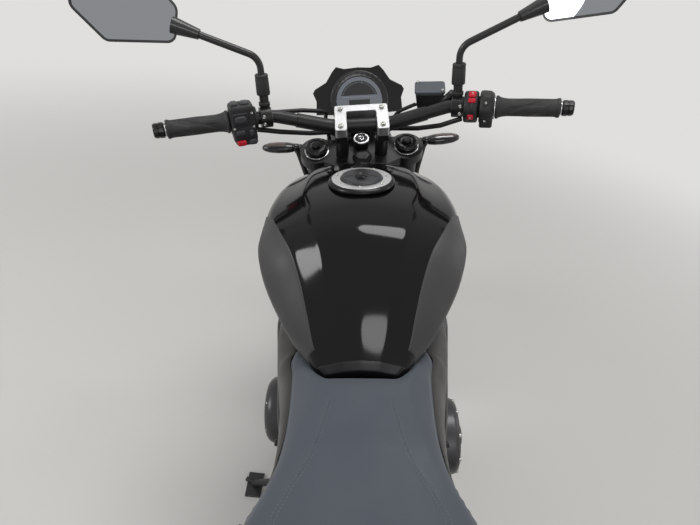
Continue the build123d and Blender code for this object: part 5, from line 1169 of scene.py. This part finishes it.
grip = grip_skin()
grips = piece("grip_sleeves", both([grip]), "steering", rubber)
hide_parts("grips")
weight = turned_shape([(0, 9.0), (0, 13.6), (1.2, 14.4), (8.6, 14.4), (9.4, 13.2), (10.4, 13.2),
                       (11.2, 14.2), (17.0, 13.6), (19.6, 12.2), (20.0, 6.5), (16.0, 6.0), (16.0, 1.0)],
                      on_grip(20.0), GRIP_AXIS, 60, 10, 0.018)
piece("bar_end_weights", both([weight]), "steering", black_metal, smooth=False)
step = turned_shape([(0, 8.0), (0, 12.6), (0.8, 13.2), (2.6, 13.2), (3.0, 11.0), (4.6, 11.0), (4.6, 8.0)],
                    on_grip(24.3), GRIP_AXIS, 48)
collar = turned_shape([(0, 12.0), (0, 22.0), (0.6, 22.6), (1.8, 22.6), (2.4, 22.0), (2.4, 12.0)],
                      on_grip(144.6), GRIP_AXIS, 64)
piece("bar_end_steps", [*both([step]), collar], "steering", bright_steel)

# The switch housings: glass filled nylon halves screwed together round the bar. The left one is a block with
# rockers, the right one two drums with the red stop switch, and behind it the throttle's drum.
nylon = finish("switch_nylon", (0.017, 0.0175, 0.019), 0.5, mottle=0.08, grain=0.6, grain_size=0.0007,
               edge=0)

SWITCH_TURN = math.radians(16.5)
SWITCH_AXES = np.array([(math.cos(SWITCH_TURN), math.sin(SWITCH_TURN), 0.0),
                        (-math.sin(SWITCH_TURN), math.cos(SWITCH_TURN), 0.0), (0.0, 0.0, 1.0)])
SWITCH_AT = np.array((-234.6, 302.5, 1062.0))


def on_switch(x, y, z):
    return SWITCH_AT + np.array((x, y, z), float) @ SWITCH_AXES


FACE_AXES = SWITCH_AXES[[0, 2, 1]] * ((1, 1, 1), (1, 1, 1), (-1, -1, -1))
drum_axes = basis_of(GRIP_AXIS)
left_shapes = [soft_block(on_switch(0, 0, 2), SWITCH_AXES, (47, 43, 72), 7, 0.16),
               soft_block(on_switch(1, -4, -34), SWITCH_AXES, (43, 38, 10), 7, 0.3),
               soft_block(on_switch(-5, -21.5, 14), FACE_AXES, (31, 24, 5), 6, 0.3),
               soft_block(on_switch(0, -21, -13), FACE_AXES, (42, 22, 4), 8, 0.3),
               turned_shape([(0, 14), (0, 24), (1.5, 25.6), (6, 25.6), (7.5, 24), (7.5, 14)],
                            on_grip(151.0), GRIP_AXIS, 56) * (-1, 1, 1),
               turned_shape([(0, 14), (0, 22), (1.5, 23.5), (5, 23.5), (6, 22), (6, 14)], on_grip(196.0),
                            GRIP_AXIS, 56) * (-1, 1, 1)]
right_shapes = [turned_shape([(0, 14), (0, 27.0), (2.4, 29.6), (12.5, 30.2), (12.9, 29.4), (13.5, 29.4),
                              (13.9, 30.2), (24.6, 29.6), (27, 27), (27, 14)], on_grip(202.0), GRIP_AXIS,
                             72, 4, 0.012), turned_shape([(0, 14), (0, 27.6), (2.2, 30.4), (8, 31.0),
                                                          (20, 30.0), (26, 26.0), (27, 24), (27, 14)],
                                                         on_grip(172.0), GRIP_AXIS, 72, 6, 0.03),
                turned_shape([(0, 14), (0, 20.5), (3.2, 20.5), (3.2, 14)], on_grip(175.1), GRIP_AXIS, 40),
                soft_block(on_grip(159.0) + (0, -6, -26), drum_axes, (26, 22, 25), 5, 0.2)]
switches = piece("switch_housings", left_shapes + right_shapes, "steering", nylon)
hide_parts("switchgear")


def round_bar(distance, degrees, radius):
    """A place on the bar's right, turned from the top towards the rider, and the axes of a button there."""
    turn = math.radians(degrees)
    up, back = np.array((0.0, 0.0, 1.0)), np.array((0.0, -1.0, 0.0))
    out = up * math.cos(turn) + back * math.sin(turn)
    out -= GRIP_AXIS * (out @ GRIP_AXIS)
    out /= np.linalg.norm(out)
    return on_grip(distance) + out * radius, np.stack([GRIP_AXIS, np.cross(out, GRIP_AXIS), out])


keys_grey = finish("key_grey", (0.045, 0.048, 0.053), 0.42, mottle=0.05, grain=0.3, grain_size=0.0006,
                   edge=0)
grey_keys = [soft_block(on_switch(-12, -5, 39.5), SWITCH_AXES, (14, 20, 9), 4, 0.3),
             soft_block(on_switch(8, -3, 39.0), SWITCH_AXES, (17, 18, 8), 4, 0.3),
             soft_block(on_switch(-5, -25, 14), FACE_AXES, (22, 13, 5), 2.6, 0.3),
             soft_block(on_switch(-9, -24.5, -11), FACE_AXES, (17, 9, 6), 4, 0.3),
             soft_block(on_switch(12, -24.5, -13), FACE_AXES, (9, 12, 5), 3, 0.3),
             soft_block(on_switch(12, -23.5, -32), FACE_AXES, (15, 11, 5), 4, 0.3)]
piece("switch_keys", grey_keys, "steering", keys_grey)
key_red = finish("key_red", (0.5, 0.012, 0.03), 0.35, mottle=0.06, grain=0.2, grain_size=0.0006, edge=0)
stop_at, stop_axes = round_bar(186.5, 22, 29.6)
stop_low, stop_low_axes = round_bar(186.5, 50, 29.2)
start_at, start_axes = round_bar(187.5, 110, 29.8)
red_keys = [soft_block(stop_at, stop_axes, (15, 17, 7), 4, 0.3),
            soft_block(stop_low, stop_low_axes, (15, 10, 5), 4, 0.3),
            soft_block(start_at, start_axes, (12, 11, 7), 4, 0.3),
            soft_block(on_switch(-10, -23.5, -32), FACE_AXES, (18, 11, 7), 4, 0.3)]
piece("red_keys", red_keys, "steering", key_red)
white_ink = finish("white_ink", (0.75, 0.75, 0.75), 0.5, mottle=0.02, grain=0.1, edge=0)
dots = [turned_shape([(0, 1.7), (0.25, 1.7), (0.25, 1.1), (0, 1.1)], stop_at + stop_axes[2] * 3.45,
                     stop_axes[2], 20), turned_shape([(0, 1.9), (0.25, 1.9), (0.25, 1.3), (0, 1.3)],
                                                     start_at + start_axes[2] * 3.45, start_axes[2], 20)]
piece("key_marks", dots, "steering", white_ink)
switch_screws = [(on_switch(x, -23.2, z), FACE_AXES[2], 2.2) for x, z in ((18, 24), (-19, -2), (18, -2))]
for degrees in (60, 130):
    spot, axes = round_bar(160.0, degrees, 30.2)
    switch_screws.append((spot, axes[2], 2.4))
piece("switch_screws", screws(switch_screws), "steering", zinc)

# The levers: forged aluminium, blacked, turning on pins in their perches. The right one ends in a bare ball.
dress("levers", finish("lever_black", (0.02, 0.02, 0.021), 0.33, metallic=0.3, grain=0.2, wear=0.45,
                       wear_colour=(0.5, 0.5, 0.5)))
lever_root = on_grip(215.0)
ball = turned_shape([(-8.6 * math.cos(t), 8.6 * math.sin(t)) for t
                     in np.linspace(0.12, math.pi - 0.12, 14)], lever_root + (198, -14, -8), (1, 0, 0), 32)
piece("lever_ball", [ball], "steering", bright_steel)
perch_screws = [(lever_root * (s, 1, 1) + (s * dx, dy, dz), a, 3.4) for s in (-1, 1) for dx, dy, dz,
                a in ((4, 44, 6.5, (0, 0, 1)), (0, -19.4, 7, (0, -1, 0)), (0, -19.4, -7, (0, -1, 0)))]
piece("perch_screws", screws(perch_screws), "steering", zinc)

# The mirrors: black stems in rubber boots and moulded heads round flat silvered glass.
dress("mirrors", finish("mirror_black", (0.018, 0.018, 0.019), 0.34, coat=0.2, grain=0.25,
                        grain_size=0.0007, edge=0.0015))
dress("mirror_glass", finish("silvered_glass", (0.32, 0.335, 0.36), 0.015, metallic=1.0, mottle=0.02,
                             grain=0.0, edge=0))
stem_foot = lever_root + (0, 6, 19)
boots = [turned_shape([(0, 8), (0, 12.6), (2, 13.2), (30, 12.8), (33, 12.2), (34.5, 12.8), (36.5, 12.8),
                       (38, 11.6), (39, 7.5)], stem_foot + (-1, 0, 24), (-0.03, 0, 1), 40)]
boots.append(turned_shape([(0, 7), (0, 10.6), (7, 10.6), (8, 9.6), (8, 7)], stem_foot + (0, 0, 2),
                          (0, 0, 1), 36, 6, 0.05))
piece("mirror_boots", both(boots), "steering", rubber)

# The instrument: a round display in a moulded case, with a ribbed black bezel round a grey printed face and
# two black windows in it. What it shows is plain: a ring of short bars and two lines.
dress("instrument", finish("case_plastic", (0.02, 0.02, 0.022), 0.34, grain=0.3, grain_size=0.0008,
                           edge=0.002))
dress("instrument_glass", finish("display_glass", (0.006, 0.008, 0.012), 0.06, coat=1.0, mottle=0.1,
                                 patch=0.03, grain=0.0, edge=0))
DIAL_AT, DIAL_AXES = np.array((0.0, 436.0, 1052.0)), tilted(65.0)


def on_dial(points):
    return np.asarray(points, float) @ DIAL_AXES + DIAL_AT


def dial_bar(radius, degrees, length, width):
    """A thin flat bar on the glass, along the radius at an angle."""
    turn = math.radians(degrees)
    out, side = np.array((math.cos(turn), math.sin(turn))), np.array((-math.sin(turn), math.cos(turn)))
    corner = np.array([(-1, -1), (1, -1), (1, 1), (-1, 1)]) / 2
    flat = out * radius + corner[:, :1] * out * length + corner[:, 1:] * side * width
    return np.stack([on_dial(np.column_stack([flat, np.full(4, z)])) for z in (-0.5, -0.2)])


def dial_plate(outline, low, high):
    """A flat plate just over the glass: one outline in the dial's plane, as two rings."""
    outline = np.asarray(outline, float)
    return np.stack([on_dial(np.column_stack([outline, np.full(len(outline), z)])) for z in (low, high)])


bezel = [turned_shape([(-1.6, 50.0), (-0.3, 50.2), (0.2, 52.0), (0.3, 56.6), (1.2, 58.4), (1.6, 60.6),
                       (0.6, 63.0), (-1.6, 63.4)], DIAL_AT, DIAL_AXES[2], 180, 30, 0.006)]
piece("dial_bezel", bezel, "steering",
      finish("bezel_black", (0.02, 0.02, 0.022), 0.22, mottle=0.05, grain=0.1, edge=0))
around = np.linspace(0, 2 * np.pi, 96, endpoint=False)
face_plate = dial_plate(np.column_stack([50.6 * np.cos(around), 50.6 * np.sin(around)]), -1.2, -0.6)
face_grey = finish("dial_face", (0.16, 0.175, 0.2), 0.3, mottle=0.05, grain=0.15, grain_size=0.0006, edge=0)
piece("dial_face", [face_plate], "steering", face_grey, smooth=False)
arc = np.radians(np.linspace(16, 164, 48))
window = np.column_stack([41.5 * np.cos(arc), 41.5 * np.sin(arc)])
windows = [dial_plate(window, -0.7, -0.4), dial_plate([(-22.7, -36), (22.7, -36), (22.7, 2), (-22.7, 2)],
                                                      -0.7, -0.4)]
window_black = finish("display_black", (0.004, 0.005, 0.007), 0.08, coat=0.8, mottle=0.1, grain=0.0, edge=0)
piece("dial_windows", windows, "steering", window_black, smooth=False)
marks = [dial_bar(38.0, degrees, 2.0 if i % 4 else 3.4, 0.6) for i,
         degrees in enumerate(np.linspace(158, 22, 29))]
marks += [dial_bar(7.4, 90, 0.8, 72.0), dial_bar(-12.0, 90, 0.5, 34.0)]
dial_ink = finish("dial_ink", (0.3, 0.33, 0.38), 0.4, mottle=0.03, grain=0.0, edge=0)
piece("dial_marks", marks, "steering", dial_ink, smooth=False)

# The flyscreen: a stepped plate of gloss black plastic between the lamp and the instrument.
dress("flyscreen", finish("screen_gloss", (0.005, 0.005, 0.006), 0.14, coat=0.0, specular=0.3, grain=0.05,
                          edge=0.002))

# The front brake's bottle: a moulded square cup that narrows downwards, with a grained lid held by two
# screws, on the pump that the lever pushes.
LID_TURN, LID_TILT = math.radians(-8.0), math.radians(12.0)
lid_x = np.array((math.cos(LID_TURN), math.sin(LID_TURN), 0.0))
lid_flat = np.array((-math.sin(LID_TURN), math.cos(LID_TURN), 0.0))
LID_AXES = np.stack([lid_x, lid_flat * math.cos(LID_TILT) + (0, 0, math.sin(LID_TILT)),
                     -lid_flat * math.sin(LID_TILT) + (0, 0, math.cos(LID_TILT))])
BOTTLE_AT = np.array((147.0, 396.0, 1066.0))
cup = soft_block((0, 0, -3), np.eye(3), (59, 44, 37), 9, 0.1, 56, 9)
cup[..., :2] *= (1 - 0.14 * np.clip(-cup[..., 2:] / 20.0, 0, 1))
cup = cup @ LID_AXES + BOTTLE_AT
pump_from, pump_to = np.array((168.0, 382.0, 1050.0)), lever_root + (-4, 32, 17)
pump = turned_shape([(0, 3), (0, 8.4), (1, 9), (np.linalg.norm(pump_to - pump_from), 9),
                     (np.linalg.norm(pump_to - pump_from), 3)], pump_from, pump_to - pump_from, 32)
bottle_black = finish("bottle_black", (0.016, 0.016, 0.017), 0.32, grain=0.3, grain_size=0.0008, edge=0.002)
bottle = piece("brake_bottle", [cup, pump], "steering", bottle_black)
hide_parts("reservoir")
lid_grained = finish("lid_grained", (0.06, 0.068, 0.08), 0.5, mottle=0.2, patch=0.01, grain=1.0,
                     grain_size=0.0022, edge=0)
lid_block = soft_block(np.array((0, 0, 17.6)) @ LID_AXES + BOTTLE_AT, LID_AXES, (63, 48, 6.5), 10, 0.22, 64)
lid = piece("bottle_lid", [lid_block], "steering", lid_grained)
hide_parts("reservoir_lid")
lid_screws = [(np.array((x, y, 21.0)) @ LID_AXES + BOTTLE_AT, LID_AXES[2], 3.0)
              for x, y in ((-25, 18), (25, -18))]
piece("lid_screws", screws(lid_screws), "steering", zinc)

# The cables and brake hoses: steel cored, in smooth black sleeves, with zinc unions at the pump.
dress("cables", finish("cable_sleeve", (0.016, 0.016, 0.017), 0.46, mottle=0.1, grain=0.3,
                       grain_size=0.0006, edge=0))
union = [turned_shape([(0, 3), (0, 7.6), (1, 8.2), (8, 8.2), (9, 7.4), (9, 3)], (162, 384.5, 1050),
                      (-1, 0.36, 0), 30, 6, 0.06)]
piece("hose_union", union, "steering", zinc)


# The headlamp: a deep gloss black bowl with a bright rim, a clear domed lens, and behind it a stepped
# reflector round a projector.
LAMP_AT = np.array((0.0, 548.0, 905.0))
AHEAD = (0.0, 1.0, 0.0)
dress("headlamp", finish("bowl_gloss", (0.01, 0.01, 0.011), 0.16, coat=0.5, grain=0.05, edge=0.002))
lens_clear = finish("lens_clear", (0.92, 0.94, 0.96), 0.03, mottle=0.02, grain=0.0, edge=0)
socket_in(lens_clear.node_tree.nodes["Principled BSDF"], "Transmission Weight", 0.96)
socket_in(lens_clear.node_tree.nodes["Principled BSDF"], "IOR", 1.3)
dress("headlamp_lens", lens_clear)
rim_ring = turned_shape([(-9, 84.1), (-9, 85.4), (-1, 85.8), (1.6, 84.6), (2.2, 81.4), (0.6, 78.4),
                         (-4, 78.2)], LAMP_AT, AHEAD, 96)
piece("lamp_rim", [rim_ring], "steering", bright_steel)
steps = [(-7.6, 77.6)]
for i in range(9):
    steps += [(-6.6 + 0.5 * i, 77.0 - 5.4 * i), (-7.0 + 0.5 * i, 74.2 - 5.4 * i)]
steps += [(-2.5, 26.5), (1.5, 25.5), (4.2, 21.0), (6.2, 12.0), (6.8, 2.0)]
mirror_steps = finish("reflector_silver", (0.8, 0.8, 0.82), 0.12, metallic=1.0, mottle=0.03, grain=0.1,
                      edge=0)
piece("lamp_reflector", [turned_shape(steps, LAMP_AT, AHEAD, 96)], "steering", mirror_steps)
dress("lamp_brackets", finish("bracket_black", (0.018, 0.018, 0.019), 0.36, metallic=0.2, grain=0.3,
                              wear=0.3))

# The front indicators: bullet shaped bodies with a smoked lens ahead and a neck in rings, on rubber stalks
# that bend when they are knocked.
def bullet(first, last, low, high):
    """Rings along the body's line: an ellipse whose half height follows the root of a half circle between
    its ends, flatter below."""
    start, end = np.array((146.0, 440.0, 950.0)), np.array((229.5, 440.0, 954.0))
    t = first + (last - first) * (1 - np.cos(np.linspace(0, np.pi, 44))) / 2
    size = np.interp(t, [0, 0.12, 0.16, 0.3, 0.55, 0.8, 0.93, 0.98, 1.0], [8.5, 9.5, 12.0, 14.2, 15.0, 12.8,
                                                                           8.8, 5.4, 1.2])
    angle = np.linspace(low, high, 40, endpoint=abs(high - low) < 6.2)
    ring = np.stack([0 * angle[None] + 0 * t[:, None], size[:, None] * 1.15 * np.cos(angle),
                     size[:, None] * 0.82 * np.sin(angle)], axis=-1)
    return ring + (start + (end - start) * t[:, None])[:, None]


bodies = [bullet(0.12, 1.0, 0, 2 * np.pi), turned_shape([(-14, 4), (-14, 7.6), (-11, 7.8), (-10.4, 6.8),
                                                         (-8.6, 6.8), (-8, 8.2), (-4.6, 8.2), (-4, 7.2),
                                                         (-2, 7.2), (-1.4, 8.8), (6, 9.4), (12, 9.6),
                                                         (13, 6)], (146, 440, 950), (1, 0, 0.048), 40)]
stalks = [turned_shape([(0, 4), (0, 8.6), (3, 8.8), (8, 7), (14, 6.4), (76, 6.2), (78, 7.8), (86, 8.0),
                        (89, 6.5), (90, 2)], (130.4, 443.8, 864), (0.225, -0.04, 1), 32)]
body_black = finish("indicator_black", (0.014, 0.014, 0.015), 0.26, coat=0.3, grain=0.15, edge=0)
indicators = piece("indicator_bodies", both(bodies), "steering", body_black)
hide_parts("front_indicators")
piece("indicator_stalks", both(stalks), "steering", rubber)
shade = [bullet(0.34, 0.9, 0.25, math.pi - 0.25) + (0, 0.5, 0.3)]
smoke = finish("smoked_lens", (0.05, 0.03, 0.022), 0.08, coat=1.0, mottle=0.1, patch=0.006, grain=0.1,
               edge=0)
piece("indicator_lenses", both(shade), "steering", smoke)

# The ground and the light: a plain pale floor, a soft box overhead, one at each side and a pale room.
def seen_ray(nodes, links):
    """1 for a ray that the camera sees straight, in a mirror or through glass, 0 for one that only lights."""
    path = nodes.new("ShaderNodeLightPath")
    total = path.outputs["Is Camera Ray"]
    for ray in ("Is Glossy Ray", "Is Transmission Ray"):
        either = nodes.new("ShaderNodeMath")
        either.operation = "MAXIMUM"
        links.new(total, either.inputs[0])
        links.new(path.outputs[ray], either.inputs[1])
        total = either.outputs[0]
    return total


def plain_floor():
    """A flat sheet under the tyres. Away from the machine it fades into the background's own plain colour."""
    mesh = bpy.data.meshes.new("floor")
    wide = FLOOR_HALF
    mesh.from_pydata([(-wide, -wide, 0), (wide, -wide, 0), (wide, wide, 0), (-wide, wide, 0)], [],
                     [(0, 1, 2, 3)])
    floor = bpy.data.objects.new("floor", mesh)
    bpy.context.collection.objects.link(floor)
    material = finish("floor_paint", (0.60, 0.595, 0.58), 0.6, mottle=0.02, patch=0.5, grain=0.03, edge=0)
    nodes, links = material.node_tree.nodes, material.node_tree.links
    where = nodes.new("ShaderNodeTexCoord").outputs["Object"]
    far = nodes.new("ShaderNodeVectorMath")
    far.operation = "LENGTH"
    links.new(where, far.inputs[0])
    fade = span(nodes, FADE_FROM, FADE_TO, 0.0, 1.0)
    fade.interpolation_type = "SMOOTHSTEP"
    links.new(far.outputs["Value"], fade.inputs["Value"])
    share = nodes.new("ShaderNodeMath")
    share.operation = "MULTIPLY"
    links.new(fade.outputs[0], share.inputs[0])
    links.new(seen_ray(nodes, links), share.inputs[1])
    plain = nodes.new("ShaderNodeEmission")
    socket_in(plain, "Color", BACKGROUND)
    both = nodes.new("ShaderNodeMixShader")
    links.new(share.outputs[0], both.inputs[0])
    links.new(nodes["Principled BSDF"].outputs[0], both.inputs[1])
    links.new(plain.outputs[0], both.inputs[2])
    links.new(both.outputs[0], nodes["Material Output"].inputs["Surface"])
    mesh.materials.append(material)


BACKGROUND = (0.74, 0.735, 0.72, 1)
FLOOR_HALF, FADE_FROM, FADE_TO = 600.0, 1.3, 4.5
plain_floor()


def soft_box(name, at, target, size, watts):
    """A round soft lamp that looks at a point."""
    lamp = bpy.data.lights.new(name, "AREA")
    lamp.shape = "ELLIPSE"
    lamp.size, lamp.size_y = size
    lamp.energy = watts
    holder = bpy.data.objects.new(name, lamp)
    bpy.context.collection.objects.link(holder)
    gaze = np.array(target, float) - np.array(at, float)
    back = -gaze / np.linalg.norm(gaze)
    right = np.cross((0.0, 0.0, 1.0), back) if abs(back[2]) < 0.999 else np.array([1.0, 0.0, 0.0])
    right /= np.linalg.norm(right)
    up = np.cross(back, right)
    turn = np.eye(4)
    turn[:3, :3] = np.stack([right, up, back], axis=1)
    turn[:3, 3] = at
    holder.matrix_world = Matrix(turn.tolist())


soft_box("overhead_box", (0.3, 0.6, 3.6), (0.1, 0.0, 0.6), (2.0, 1.0), 52.0)
soft_box("left_box", (-3.2, -0.6, 2.2), (0.1, 0.0, 0.6), (1.2, 1.2), 46.0)
soft_box("right_box", (3.2, 0.8, 2.0), (0.1, 0.0, 0.6), (1.2, 1.2), 14.0)
soft_box("rear_box", (0.4, -3.4, 2.4), (0.1, 0.0, 0.6), (1.2, 1.0), 24.0)

room = bpy.data.worlds.new("pale_room")
bpy.context.scene.world = room
room.use_nodes = True
wall = room.node_tree.nodes["Background"]
wall.inputs["Color"].default_value = BACKGROUND
strength = span(room.node_tree.nodes, 0.0, 1.0, 0.5, 1.0)
room.node_tree.links.new(seen_ray(room.node_tree.nodes, room.node_tree.links), strength.inputs["Value"])
room.node_tree.links.new(strength.outputs[0], wall.inputs["Strength"])

# The camera stands where the photographer stood, behind and above the seat.
CAMERA_AT = (6.8, -628.1, 1377.3)
PITCH, YAW, ROLL = math.radians(35.67), math.radians(-2.285), math.radians(-1.46)
eye = bpy.data.cameras.new("camera")
eye.sensor_width = 36.0
eye.lens = 36.0 * 478.9 / 700.0
eye.clip_start, eye.clip_end = 0.05, 2000.0
holder = bpy.data.objects.new("camera", eye)
bpy.context.collection.objects.link(holder)
gaze = np.array([math.sin(YAW) * math.cos(PITCH), math.cos(YAW) * math.cos(PITCH), -math.sin(PITCH)])
level = np.array([math.cos(YAW), -math.sin(YAW), 0.0])
upward = np.cross(level, gaze)
right = level * math.cos(ROLL) + upward * math.sin(ROLL)
up = -level * math.sin(ROLL) + upward * math.cos(ROLL)
turn = np.eye(4)
turn[:3, :3] = CHASSIS[:3, :3] @ np.stack([right, up, -gaze], axis=1) * 1000.0
turn[:3, 3] = CHASSIS[:3, :3] @ np.array(CAMERA_AT) + CHASSIS[:3, 3]
holder.matrix_world = Matrix(turn.tolist())
bpy.context.scene.camera = holder
bpy.context.scene.view_settings.view_transform = "Standard"
